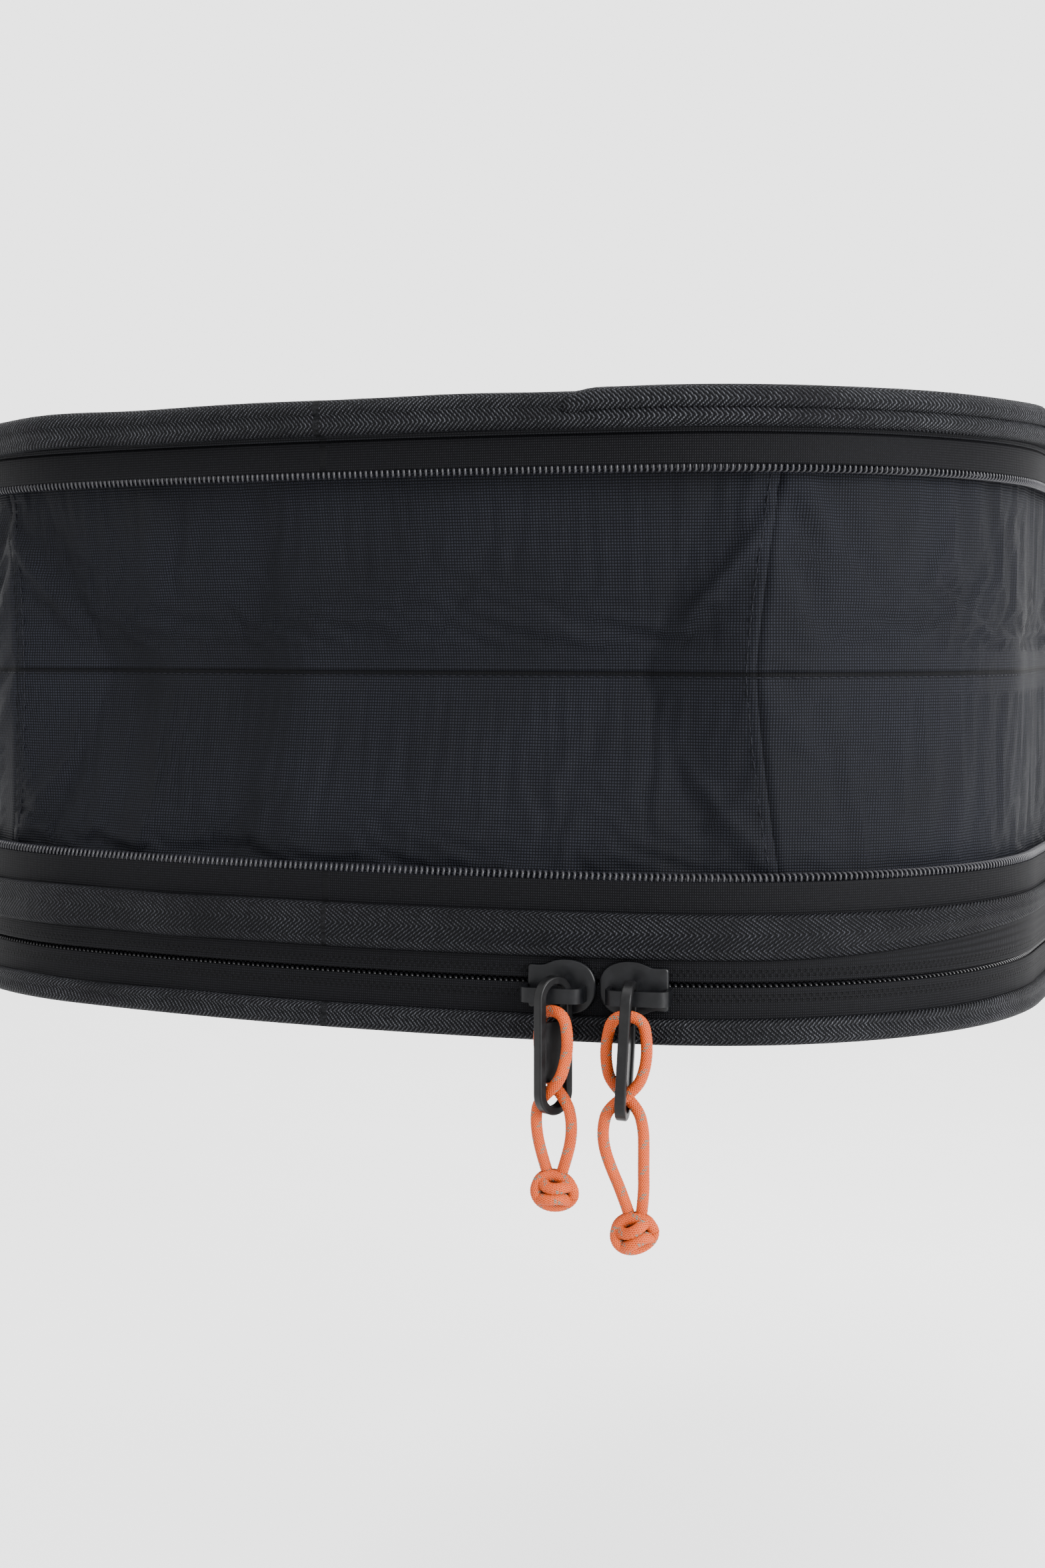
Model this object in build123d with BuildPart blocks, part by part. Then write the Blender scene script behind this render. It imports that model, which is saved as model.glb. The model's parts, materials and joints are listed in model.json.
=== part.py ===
"""Expandable soft pack with a clamshell main zip, an expansion gusset and corded zip pulls.

The pack lies flat: +Z is up through its thickness, -Y is the arched front edge and +Y the
hinged rear edge. The origin is the middle of the lower panel's outer face. Millimetres.

A "side distance" is a distance outward from the zip line, the plan outline that both zips
follow: 0 is the outer face of the zip tapes, positive is outside the pack.
"""
import math
import os

from build123d import *

# ---- driving dimensions: plan outline ----
pack_length = 480.0
pack_height = 172.0
arch_radius = 520.0
arch_half_length = 88.0
front_corner_radius = 105.0
rear_corner_radius = 60.0

# ---- driving dimensions: heights up the side wall ----
lower_binding_top = 7.0
main_zip_centre = 16.4
chain_gap = 1.2
band_bottom = 22.9
band_top = 35.0
lower_expansion_tape_top = 43.6
upper_expansion_tape_bottom = 152.8
upper_expansion_tape_top = 161.0
upper_binding_bottom = 162.4
expansion_coil_height = 2.2
main_coil_height = 2.6

# ---- driving dimensions: thicknesses and side distances ----
tape_thickness = 0.8
coil_depth = 2.6
fabric_thickness = 1.0
lining_thickness = 0.8
flange_thickness = 0.9
panel_stack = 6.1
panel_edge = -2.2
binding_inner = -6.0
binding_pocket = 1.1
lower_binding_outer = 2.0
upper_binding_outer = 4.0
band_outer = 2.2
band_inner = -0.9
stiffener_thickness = 1.0
gusset_outer = -5.8
core_clearance = 0.3
core_corner = 1.4
panel_clearance = 0.2
gusset_clearance = 0.2
seam_tape_half_height = 5.0
upright_seam_place = 119.4
overlap_thickness = 1.2
overlap_inner = -5.0
overlap_outer = 3.0
overlap_start_x = 68.0
overlap_end_y = -120.0
soft_edge = 0.8
cut_margin = 20.0

# ---- driving dimensions: rear hinge and zip ends ----
hinge_half_width = 100.0
hinge_gap = 0.3
hinge_thickness = 1.2
hinge_bottom = 7.6
hinge_top = 22.4
zip_end_gap = 4.0
tab_width = 7.0

# ---- driving dimensions: sliders ----
left_slider_place = 67.6
right_slider_place = 87.2
expansion_slider_y = 150.0
stop_distance = 11.0
stop_width = 5.0
stop_thickness = 1.4
stop_inset = 1.0
slider_length = 18.3
slider_half_narrow = 5.8
slider_half_wide = 7.5
slider_drop = 1.4
neck_end = 0.55
shoulder_start = 0.1
shoulder_end = -0.45
nose_share = 0.42
plate_front = 1.5
plate_thickness = 1.2
back_plate_front = -4.2
back_plate_thickness = 1.0
back_plate_inset = 1.0
post_half_height = 0.4
post_place = -0.6
post_share = 0.55
lip_drop = 3.4
lip_thickness = 0.8
lip_reach = -1.1
lip_share = 1.5
strap_height = 4.0
strap_thickness = 1.2
strap_back = 6.9
strap_drop = 2.9
strap_wide_end = 7.0
strap_corner = 3.2

# ---- driving dimensions: pullers, cords and knots, measured from the puller's pivot ----
puller_length = 37.0
puller_width = 12.0
puller_thickness = 2.9
puller_bar = 2.3
puller_plate_thickness = 1.6
puller_top = 5.0
puller_shift = 1.3
puller_plate_top = -7.2
puller_plate_bottom = -23.0
puller_edge = 0.5
left_twist = 32.0
right_lean = 3.0
left_slack = (-0.4, 0.5)
no_slack = (0.0, 0.0)
cord_diameter = 3.2
knot_width = 12.6
knot_height = 11.4
knot_corner = 4.6
arc_share = 0.45

# Cord routes: (across the puller, up, through the puller), start and end at the knot.
left_cord_route = [
    (1.6, -47.0, 2.2),
    (2.4, -42.0, 3.6),
    (3.0, -37.2, 4.4),
    (3.2, -32.8, 4.6),
    (3.05, -28.6, 3.7),
    (3.05, -22.7, -3.9),
    (1.6, -17.2, -5.0),
    (0.9, -11.4, -5.2),
    (1.3, -4.4, -4.0),
    (1.3, -4.4, 4.0),
    (1.7, -11.4, 5.2),
    (1.2, -17.2, 5.0),
    (-0.45, -22.7, 3.9),
    (-0.45, -28.6, -3.7),
    (-0.8, -32.8, -4.7),
    (-1.2, -37.2, -4.4),
    (-1.0, -42.0, -3.4),
    (-0.6, -47.0, -1.7),
]
right_cord_route = [
    (1.3, -56.0, -2.9),
    (1.3, -50.5, -0.6),
    (1.4, -45.0, 2.2),
    (1.8, -39.5, 4.4),
    (2.6, -34.0, 4.9),
    (3.05, -28.6, 3.7),
    (3.05, -22.7, -3.9),
    (2.0, -17.2, -5.5),
    (1.4, -11.4, -5.5),
    (1.3, -4.4, -4.0),
    (1.3, -4.4, 4.0),
    (1.2, -11.4, 5.4),
    (0.8, -17.2, 5.3),
    (-0.45, -22.7, 3.9),
    (-0.45, -28.6, -3.7),
    (0.2, -34.0, -5.6),
    (1.0, -39.5, -6.1),
    (1.3, -45.0, -6.4),
    (1.3, -50.5, -6.8),
    (1.3, -56.0, -6.5),
]
left_knot_centre = (0.5, -52.4, 0.3)
right_knot_centre = (1.3, -61.4, -4.8)

os.makedirs("parts", exist_ok=True)

# ---- places worked out from the dimensions above ----
front_y = -pack_length / 2
rear_y = pack_length / 2
arch_angle = math.degrees(arch_half_length / arch_radius)
arch_centre = (0.0, front_y + arch_radius)
corner_distance = arch_radius - front_corner_radius
front_corner = (
    corner_distance * math.sin(math.radians(arch_angle)),
    arch_centre[1] - corner_distance * math.cos(math.radians(arch_angle)),
)
half_width = front_corner[0] + front_corner_radius
rear_corner = (half_width - rear_corner_radius, rear_y - rear_corner_radius)
lower_chain_top = main_zip_centre - chain_gap / 2
upper_chain_bottom = main_zip_centre + chain_gap / 2
lower_expansion_coil_top = lower_expansion_tape_top + expansion_coil_height
upper_expansion_coil_bottom = upper_expansion_tape_bottom - expansion_coil_height
skin_top = flange_thickness + fabric_thickness
lining_bottom = panel_stack - lining_thickness
panel_step = binding_inner - panel_clearance


def bag_outline(side, mode=Mode.ADD):
    """Draw the pack's plan outline, at a side distance, in the sketch being built."""
    corner = front_corner_radius + side
    rear = rear_corner_radius + side
    turn = 90 - arch_angle
    with BuildLine() as outline:
        CenterArc(arch_centre, arch_radius + side, -90 - arch_angle, 2 * arch_angle)
        CenterArc(front_corner, corner, -90 + arch_angle, turn)
        Line((half_width + side, front_corner[1]), (half_width + side, rear_corner[1]))
        CenterArc(rear_corner, rear, 0, 90)
        Line((rear_corner[0], rear_y + side), (-rear_corner[0], rear_y + side))
        CenterArc((-rear_corner[0], rear_corner[1]), rear, 90, 90)
        Line((-half_width - side, rear_corner[1]), (-half_width - side, front_corner[1]))
        CenterArc((-front_corner[0], front_corner[1]), corner, 180, turn)
    make_face(outline.edges(), mode=mode)


def add_plate(bottom, top, side):
    """Add a plate of the pack's outline to the part being built."""
    with BuildSketch(Plane.XY.offset(bottom)) as plate:
        bag_outline(side)
    extrude(plate.sketch, amount=top - bottom)


def add_wall(bottom, top, inner, outer, mode=Mode.ADD):
    """Add or cut a wall that follows the pack's outline, in the part being built."""
    with BuildSketch(Plane.XY.offset(bottom)) as wall:
        bag_outline(outer)
        bag_outline(inner, Mode.SUBTRACT)
    extrude(wall.sketch, amount=top - bottom, mode=mode)


def add_box(low, high, mode=Mode.ADD):
    """Add or cut a box between two corners, in the part being built."""
    with Locations(tuple((a + b) / 2 for a, b in zip(low, high))):
        Box(*(b - a for a, b in zip(low, high)), mode=mode)


def cut_zip_mouth():
    """Cut a main zip piece away along the rear edge, where the fabric hinge is."""
    reach = hinge_half_width + zip_end_gap
    low = (-reach, rear_y - cut_margin, 0)
    high = (reach, rear_y + cut_margin, band_top)
    add_box(low, high, Mode.SUBTRACT)


def soften(piece, height, radius=soft_edge):
    """Round a piece's edges at one height, as folded webbing is round."""
    fillet(piece.edges().filter_by_position(Axis.Z, height, height), radius)


def save(piece, label):
    """Label a finished piece and write it as STEP."""
    piece.part.label = label
    export_step(piece.part, "parts/" + label + ".step")


# ---- lower tray: panel, binding and the lower half of the main zip ----
with BuildPart() as lower_panel_skin:
    add_plate(0, flange_thickness, panel_step)
    add_plate(flange_thickness, skin_top, panel_edge)
save(lower_panel_skin, "lower_panel_skin")

with BuildPart() as lower_panel_foam:
    add_plate(skin_top, lining_bottom, panel_edge)
save(lower_panel_foam, "lower_panel_foam")

with BuildPart() as lower_lining:
    add_plate(lining_bottom, panel_stack, panel_edge)
save(lower_lining, "lower_lining")

with BuildPart() as lower_binding:
    add_wall(0, lower_binding_top, binding_inner, lower_binding_outer)
    add_wall(flange_thickness, panel_stack, -cut_margin, binding_pocket, Mode.SUBTRACT)
    soften(lower_binding, 0, flange_thickness / 2)
    soften(lower_binding, lower_binding_top, flange_thickness / 2)
save(lower_binding, "lower_binding")

with BuildPart() as lower_piping_core:
    add_wall(
        flange_thickness + core_clearance,
        panel_stack - core_clearance,
        panel_edge,
        binding_pocket,
    )
    soften(lower_piping_core, flange_thickness + core_clearance, core_corner)
    soften(lower_piping_core, panel_stack - core_clearance, core_corner)
save(lower_piping_core, "lower_piping_core")

with BuildPart() as main_zip_lower_tape:
    add_wall(lower_binding_top, lower_chain_top, -tape_thickness, 0)
    cut_zip_mouth()
save(main_zip_lower_tape, "main_zip_lower_tape")

with BuildPart() as main_zip_lower_coil:
    add_wall(
        lower_chain_top - main_coil_height,
        lower_chain_top,
        -tape_thickness - coil_depth,
        -tape_thickness,
    )
    cut_zip_mouth()
save(main_zip_lower_coil, "main_zip_lower_coil")

# ---- rear fabric hinge, in two leaves, and the tabs over the zip's ends ----
with BuildPart() as hinge_lower_leaf:
    add_box(
        (-hinge_half_width, rear_y, hinge_bottom),
        (hinge_half_width, rear_y + hinge_thickness, main_zip_centre - hinge_gap / 2),
    )
save(hinge_lower_leaf, "hinge_lower_leaf")

with BuildPart() as hinge_upper_leaf:
    add_box(
        (-hinge_half_width, rear_y, main_zip_centre + hinge_gap / 2),
        (hinge_half_width, rear_y + hinge_thickness, hinge_top),
    )
save(hinge_upper_leaf, "hinge_upper_leaf")

for side_name, side_sign in (("left", -1), ("right", 1)):
    with BuildPart() as zip_end_tab:
        tab_start = side_sign * (hinge_half_width + zip_end_gap)
        tab_end = tab_start + side_sign * tab_width
        add_box(
            (min(tab_start, tab_end), rear_y, hinge_bottom),
            (max(tab_start, tab_end), rear_y + hinge_thickness, lower_chain_top),
        )
    save(zip_end_tab, "zip_end_tab_" + side_name)

# ---- middle wall: main zip's upper half, band, lower half of the expansion zip ----
with BuildPart() as main_zip_upper_tape:
    add_wall(upper_chain_bottom, band_bottom, -tape_thickness, 0)
    cut_zip_mouth()
save(main_zip_upper_tape, "main_zip_upper_tape")

with BuildPart() as main_zip_upper_coil:
    add_wall(
        upper_chain_bottom,
        upper_chain_bottom + main_coil_height,
        -tape_thickness - coil_depth,
        -tape_thickness,
    )
    cut_zip_mouth()
save(main_zip_upper_coil, "main_zip_upper_coil")

with BuildPart() as wide_band:
    add_wall(band_bottom, band_top, band_inner, band_outer)
    soften(wide_band, band_bottom)
    soften(wide_band, band_top)
save(wide_band, "wide_band")

with BuildPart() as band_stiffener:
    add_wall(band_bottom, band_top, band_inner - stiffener_thickness, band_inner)
save(band_stiffener, "band_stiffener")

with BuildPart() as side_lining:
    add_wall(
        band_bottom,
        band_top,
        band_inner - stiffener_thickness - lining_thickness,
        band_inner - stiffener_thickness,
    )
save(side_lining, "side_lining")

with BuildPart() as expansion_lower_tape:
    add_wall(band_top, lower_expansion_tape_top, -tape_thickness, 0)
save(expansion_lower_tape, "expansion_lower_tape")

with BuildPart() as expansion_lower_coil:
    add_wall(
        lower_expansion_tape_top,
        lower_expansion_coil_top,
        -tape_thickness - coil_depth,
        0,
    )
    soften(expansion_lower_coil, lower_expansion_coil_top)
save(expansion_lower_coil, "expansion_lower_coil")

# ---- expansion gusset: two fabric walls, turned out at top and bottom, joined by upright
# seams on the front corners and by a level seam with a tape behind it ----
gusset_bottom = band_top + gusset_clearance
gusset_top = upper_expansion_tape_top
gusset_inner = gusset_outer - fabric_thickness
gusset_seam_height = (gusset_bottom + gusset_top) / 2
upright_seam_turn = (upright_seam_place - arch_half_length) / front_corner_radius
upright_seam_angle = math.radians(arch_angle) + upright_seam_turn
upright_seam_radius = front_corner_radius + gusset_outer
upright_seam_y = front_corner[1] - upright_seam_radius * math.cos(upright_seam_angle)
for gusset_name, keep_front in (("gusset_front", True), ("gusset_rear", False)):
    with BuildPart() as gusset:
        add_wall(gusset_bottom, gusset_bottom + fabric_thickness, gusset_outer, -tape_thickness)
        add_wall(gusset_bottom, gusset_top, gusset_inner, gusset_outer)
        add_wall(gusset_top - fabric_thickness, gusset_top, gusset_outer, -tape_thickness)
        front_half = (front_y - cut_margin, upright_seam_y)
        rear_half = (upright_seam_y, rear_y + cut_margin)
        cut_span = rear_half if keep_front else front_half
        add_box(
            (-half_width - cut_margin, cut_span[0], 0),
            (half_width + cut_margin, cut_span[1], pack_height),
            Mode.SUBTRACT,
        )
    save(gusset, gusset_name)

with BuildPart() as gusset_seam_tape:
    add_wall(
        gusset_seam_height - seam_tape_half_height,
        gusset_seam_height + seam_tape_half_height,
        gusset_inner - lining_thickness,
        gusset_inner,
    )
save(gusset_seam_tape, "gusset_seam_tape")

# ---- top shell: upper half of the expansion zip, facing, binding and panel ----
with BuildPart() as expansion_upper_coil:
    add_wall(
        upper_expansion_coil_bottom,
        upper_expansion_tape_bottom,
        -tape_thickness - coil_depth,
        0,
    )
    soften(expansion_upper_coil, upper_expansion_coil_bottom)
save(expansion_upper_coil, "expansion_upper_coil")

with BuildPart() as expansion_upper_tape:
    add_wall(upper_expansion_tape_bottom, upper_expansion_tape_top, -tape_thickness, 0)
save(expansion_upper_tape, "expansion_upper_tape")

with BuildPart() as upper_side_facing:
    add_wall(
        upper_expansion_tape_top,
        upper_binding_bottom,
        -tape_thickness - fabric_thickness,
        0,
    )
save(upper_side_facing, "upper_side_facing")

upper_stack_bottom = pack_height - panel_stack
with BuildPart() as upper_binding:
    add_wall(upper_binding_bottom, pack_height, binding_inner, upper_binding_outer)
    add_wall(
        upper_stack_bottom,
        pack_height - flange_thickness,
        -cut_margin,
        binding_pocket,
        Mode.SUBTRACT,
    )
    soften(upper_binding, pack_height, flange_thickness / 2)
    soften(upper_binding, upper_binding_bottom)
save(upper_binding, "upper_binding")

with BuildPart() as upper_piping_core:
    add_wall(
        upper_stack_bottom + core_clearance,
        pack_height - flange_thickness - core_clearance,
        panel_edge,
        binding_pocket,
    )
    soften(upper_piping_core, upper_stack_bottom + core_clearance, core_corner)
    soften(upper_piping_core, pack_height - flange_thickness - core_clearance, core_corner)
save(upper_piping_core, "upper_piping_core")

with BuildPart() as upper_lining:
    add_plate(upper_stack_bottom, upper_stack_bottom + lining_thickness, panel_edge)
save(upper_lining, "upper_lining")

with BuildPart() as upper_panel_foam:
    add_plate(upper_stack_bottom + lining_thickness, pack_height - skin_top, panel_edge)
save(upper_panel_foam, "upper_panel_foam")

with BuildPart() as upper_panel_skin:
    add_plate(pack_height - skin_top, pack_height - flange_thickness, panel_edge)
    add_plate(pack_height - flange_thickness, pack_height, panel_step)
save(upper_panel_skin, "upper_panel_skin")

with BuildPart() as binding_overlap:
    add_wall(pack_height, pack_height + overlap_thickness, overlap_inner, overlap_outer)
    add_box(
        (-half_width - cut_margin, front_y - cut_margin, 0),
        (overlap_start_x, rear_y + cut_margin, pack_height * 2),
        Mode.SUBTRACT,
    )
    add_box(
        (0, overlap_end_y, 0),
        (half_width + cut_margin, rear_y + cut_margin, pack_height * 2),
        Mode.SUBTRACT,
    )
save(binding_overlap, "binding_overlap")


# ---- sliders, pullers and cords ----
def zip_plane(distance):
    """Plane on the zip line at a distance right of the front's middle.

    Its x runs along the zip to the right, its y runs up and its z points out of the pack.
    """
    if distance <= arch_half_length:
        angle = distance / arch_radius
        centre = arch_centre
        radius = arch_radius
    else:
        past_arch = (distance - arch_half_length) / front_corner_radius
        angle = math.radians(arch_angle) + past_arch
        centre = front_corner
        radius = front_corner_radius
    outward = Vector(math.sin(angle), -math.cos(angle), 0)
    along = Vector(math.cos(angle), math.sin(angle), 0)
    origin = Vector(centre[0], centre[1], 0) + outward * radius
    return Plane(origin=origin, x_dir=along, z_dir=outward)


def raised(plane, height):
    """The same plane with its origin raised by a height."""
    return Plane(
        origin=plane.origin + Vector(0, 0, height), x_dir=plane.x_dir, z_dir=plane.z_dir
    )


def slider_outline(narrow_end, inset):
    """Draw a slider plate, square at its narrow end (-1 left, +1 right), round at the other."""
    half = slider_length / 2 - inset
    narrow = slider_half_narrow - inset
    wide = slider_half_wide - inset
    half_shape = [
        (half, narrow),
        (half * neck_end, narrow),
        (half * shoulder_start, wide),
        (half * shoulder_end, wide),
        (-half, wide * nose_share),
    ]
    shape = half_shape + [(x, -y) for x, y in reversed(half_shape)]
    with BuildLine() as outline:
        Polyline(*[(x * narrow_end, y) for x, y in shape], close=True)
    plate = make_face(outline.edges())
    fillet(plate.vertices(), soft_edge)


def make_slider_body(plane, zip_height, narrow_end):
    """Slider body: front and back plates, the post between them and the lower lip."""
    middle = raised(plane, zip_height - slider_drop)
    chain = raised(plane, zip_height)
    half = slider_length / 2
    back_plate_back = back_plate_front - back_plate_thickness
    with BuildPart() as body:
        with BuildSketch(middle.offset(plate_front - plate_thickness)):
            slider_outline(narrow_end, 0)
        extrude(amount=plate_thickness)
        with BuildSketch(middle.offset(back_plate_back)):
            slider_outline(narrow_end, back_plate_inset)
        extrude(amount=back_plate_thickness)
        with BuildSketch(chain.offset(back_plate_front)):
            with Locations((narrow_end * half * post_place, 0)):
                Rectangle(half * post_share, post_half_height * 2)
        extrude(amount=plate_front - plate_thickness - back_plate_front)
        with BuildSketch(chain.offset(back_plate_front)):
            with Locations((0, -lip_drop - lip_thickness / 2)):
                Rectangle(half * lip_share, lip_thickness)
        extrude(amount=lip_reach - back_plate_front)
    return body


def make_slider_strap(plane, zip_height, narrow_end):
    """The arched strap that the puller hangs on, wrapped over the slider's narrow end."""
    level = raised(plane, zip_height - strap_drop)
    front = strap_back + strap_thickness
    foot = slider_length / 2 * narrow_end
    foot_outside = foot + strap_thickness * narrow_end
    wide_outside = -strap_wide_end * narrow_end
    wide_inside = wide_outside + strap_thickness * narrow_end
    plate_back = plate_front - plate_thickness
    profile_plane = Plane(origin=level.origin, x_dir=level.x_dir, z_dir=(0, 0, -1))
    with BuildPart() as strap:
        with BuildSketch(profile_plane):
            with BuildLine():
                FilletPolyline(
                    (foot_outside, plate_back),
                    (foot_outside, front),
                    (wide_outside, front),
                    (wide_outside, plate_front),
                    radius=strap_corner,
                )
                FilletPolyline(
                    (foot, plate_back),
                    (foot, strap_back),
                    (wide_inside, strap_back),
                    (wide_inside, plate_front),
                    radius=strap_corner - strap_thickness,
                )
                Line((foot_outside, plate_back), (foot, plate_back))
                Line((wide_outside, plate_front), (wide_inside, plate_front))
            make_face()
        extrude(amount=strap_height / 2, both=True)
    return strap


def strap_middle(plane, zip_height):
    """Middle of a slider's strap, where its puller pivots."""
    strap_distance = strap_back + strap_thickness / 2
    return raised(plane, zip_height - strap_drop).origin + plane.z_dir * strap_distance


def puller_plane(plane, zip_height, twist, lean, slack):
    """Plane of a hanging puller: x across it, y up it and z through it.

    Its origin is the strap's middle, moved by the slack that the link has on the strap.
    """
    along = plane.x_dir
    outward = plane.z_dir
    up = Vector(0, 0, 1)
    turned = math.radians(twist)
    leaning = math.radians(lean)
    across = outward * math.cos(turned) - along * math.sin(turned)
    upright = up * math.cos(leaning) + along * math.sin(leaning)
    hang = strap_middle(plane, zip_height) + across * slack[0] + upright * slack[1]
    return Plane(origin=hang, x_dir=across, z_dir=across.cross(upright))


def make_puller(plane):
    """Puller: a long rounded link with a thinner plate across the middle of its window."""
    centre_height = puller_top - puller_length / 2
    window_length = puller_length - 2 * puller_bar
    window_width = puller_width - 2 * puller_bar
    plate_height = (puller_plate_top + puller_plate_bottom) / 2
    with BuildPart() as link:
        with BuildSketch(plane):
            with Locations((puller_shift, centre_height)):
                SlotOverall(puller_length, puller_width, rotation=90)
                SlotOverall(window_length, window_width, rotation=90, mode=Mode.SUBTRACT)
        extrude(amount=puller_thickness / 2, both=True)
        faces = link.faces().sort_by(SortBy.AREA)[-2:]
        fillet(faces.edges(), puller_edge)
        with BuildSketch(plane):
            with Locations((puller_shift, plate_height)):
                Rectangle(window_width, puller_plate_top - puller_plate_bottom)
        extrude(amount=puller_plate_thickness / 2, both=True)
    return link


def corner_radii(points):
    """Largest tangent arc that each corner's two runs allow."""
    radii = []
    for before, corner, after in zip(points, points[1:], points[2:]):
        incoming = corner - before
        outgoing = after - corner
        turn = math.radians(incoming.get_angle(outgoing))
        shorter = min(incoming.length, outgoing.length)
        radii.append(arc_share * shorter / math.tan(turn / 2))
    return radii


def make_cord(plane, route):
    """A cord loop along its route, as straight runs joined by tangent arcs."""
    points = [plane.from_local_coords(Vector(*point)) for point in route]
    radii = corner_radii(points)
    with BuildPart() as cord:
        with BuildLine() as path:
            FilletPolyline(*points, radius=radii)
        with BuildSketch(Plane(origin=path.line @ 0, z_dir=path.line % 0)):
            Circle(cord_diameter / 2)
        sweep()
    length = path.wire().length
    section = math.pi * cord_diameter**2 / 4
    print("cord radii:", " ".join(f"{radius:.1f}" for radius in radii))
    print(f"cord length {length:.1f}, volume {cord.part.volume:.1f} of {section * length:.1f}")
    return cord


def make_knot(plane, centre):
    """Outer shape of a doubled stopper knot."""
    knot_plane = Plane(
        origin=plane.from_local_coords(Vector(*centre)), x_dir=(1, 0, 0), z_dir=(0, -1, 0)
    )
    with BuildPart() as knot:
        with BuildSketch(knot_plane) as profile:
            with Locations((knot_width / 4, 0)):
                Rectangle(knot_width / 2, knot_height)
            fillet(profile.vertices().sort_by(Axis.X)[-2:], knot_corner)
        revolve(axis=Axis(knot_plane.origin, (0, 0, 1)))
    return knot


left_zip_plane = zip_plane(left_slider_place)
right_zip_plane = zip_plane(right_slider_place)
expansion_zip_plane = Plane(
    origin=(-half_width, expansion_slider_y, 0), x_dir=(0, -1, 0), z_dir=(-1, 0, 0)
)
expansion_zip_centre = lower_expansion_coil_top + chain_gap / 2

sliders = [
    ("slider_left", left_zip_plane, main_zip_centre, -1),
    ("slider_right", right_zip_plane, main_zip_centre, 1),
    ("expansion_slider", expansion_zip_plane, expansion_zip_centre, 1),
]
for slider_name, slider_plane, zip_height, narrow_end in sliders:
    save(make_slider_body(slider_plane, zip_height, narrow_end), slider_name + "_body")
    save(make_slider_strap(slider_plane, zip_height, narrow_end), slider_name + "_strap")

left_puller_plane = puller_plane(
    left_zip_plane, main_zip_centre, left_twist, 0, left_slack
)
right_puller_plane = puller_plane(
    right_zip_plane, main_zip_centre, 0, right_lean, no_slack
)
expansion_puller_plane = puller_plane(
    expansion_zip_plane, expansion_zip_centre, 0, 0, no_slack
)
save(make_puller(left_puller_plane), "puller_left")
save(make_puller(right_puller_plane), "puller_right")
save(make_puller(expansion_puller_plane), "expansion_puller")

save(make_cord(left_puller_plane, left_cord_route), "cord_left")
save(make_cord(right_puller_plane, right_cord_route), "cord_right")
save(make_knot(left_puller_plane, left_knot_centre), "knot_left")
save(make_knot(right_puller_plane, right_knot_centre), "knot_right")

# ---- ends of the open expansion zip, just behind its slider ----
stop_start = expansion_slider_y + stop_distance
with BuildPart() as expansion_stop_box:
    add_box(
        (-half_width - stop_thickness, stop_start, band_top + stop_inset),
        (-half_width, stop_start + stop_width, lower_expansion_coil_top),
    )
save(expansion_stop_box, "expansion_stop_box")

with BuildPart() as expansion_stop_pin:
    add_box(
        (-half_width - stop_thickness, stop_start, upper_expansion_coil_bottom),
        (-half_width, stop_start + stop_width, upper_expansion_tape_top - stop_inset),
    )
save(expansion_stop_pin, "expansion_stop_pin")

for slider_name, slider_plane, zip_height, _ in sliders:
    pivot = strap_middle(slider_plane, zip_height)
    print(f"{slider_name} puller pivot {pivot}, zip direction {slider_plane.x_dir}")
print(f"arch centre {arch_centre}, front corner centre {front_corner}")
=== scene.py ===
"""Looks of the expandable pack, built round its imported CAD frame.

Lengths here are millimetres until a mesh is made, which is in metres like the frame. Most of
the pack follows one closed outline, the zip line. A point on a side wall is given by its
distance along that outline from the front's middle, positive to the right, by its side
distance outward from it, and by its height.
"""
import json
import math

import bpy
import numpy as np
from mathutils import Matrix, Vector


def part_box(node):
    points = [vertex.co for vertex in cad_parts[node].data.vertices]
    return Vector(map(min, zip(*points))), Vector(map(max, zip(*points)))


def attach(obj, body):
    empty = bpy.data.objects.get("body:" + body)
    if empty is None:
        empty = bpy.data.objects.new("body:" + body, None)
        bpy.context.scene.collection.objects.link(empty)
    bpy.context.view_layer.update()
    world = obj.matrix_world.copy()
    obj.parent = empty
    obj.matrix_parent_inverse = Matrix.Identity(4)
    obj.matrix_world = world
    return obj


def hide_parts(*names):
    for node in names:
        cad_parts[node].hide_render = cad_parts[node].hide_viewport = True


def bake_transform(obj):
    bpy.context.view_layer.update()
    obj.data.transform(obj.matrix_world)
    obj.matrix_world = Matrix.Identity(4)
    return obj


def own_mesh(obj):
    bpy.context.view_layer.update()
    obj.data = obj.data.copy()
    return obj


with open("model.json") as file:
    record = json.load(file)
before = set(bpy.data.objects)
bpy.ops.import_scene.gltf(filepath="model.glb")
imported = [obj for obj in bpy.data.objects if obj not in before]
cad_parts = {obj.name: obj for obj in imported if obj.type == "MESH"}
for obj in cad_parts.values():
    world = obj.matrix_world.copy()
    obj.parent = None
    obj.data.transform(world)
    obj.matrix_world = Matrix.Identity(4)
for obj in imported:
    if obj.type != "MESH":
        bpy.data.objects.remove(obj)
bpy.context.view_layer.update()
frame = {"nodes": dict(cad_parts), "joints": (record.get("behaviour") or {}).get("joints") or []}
MM = 0.001

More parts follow.
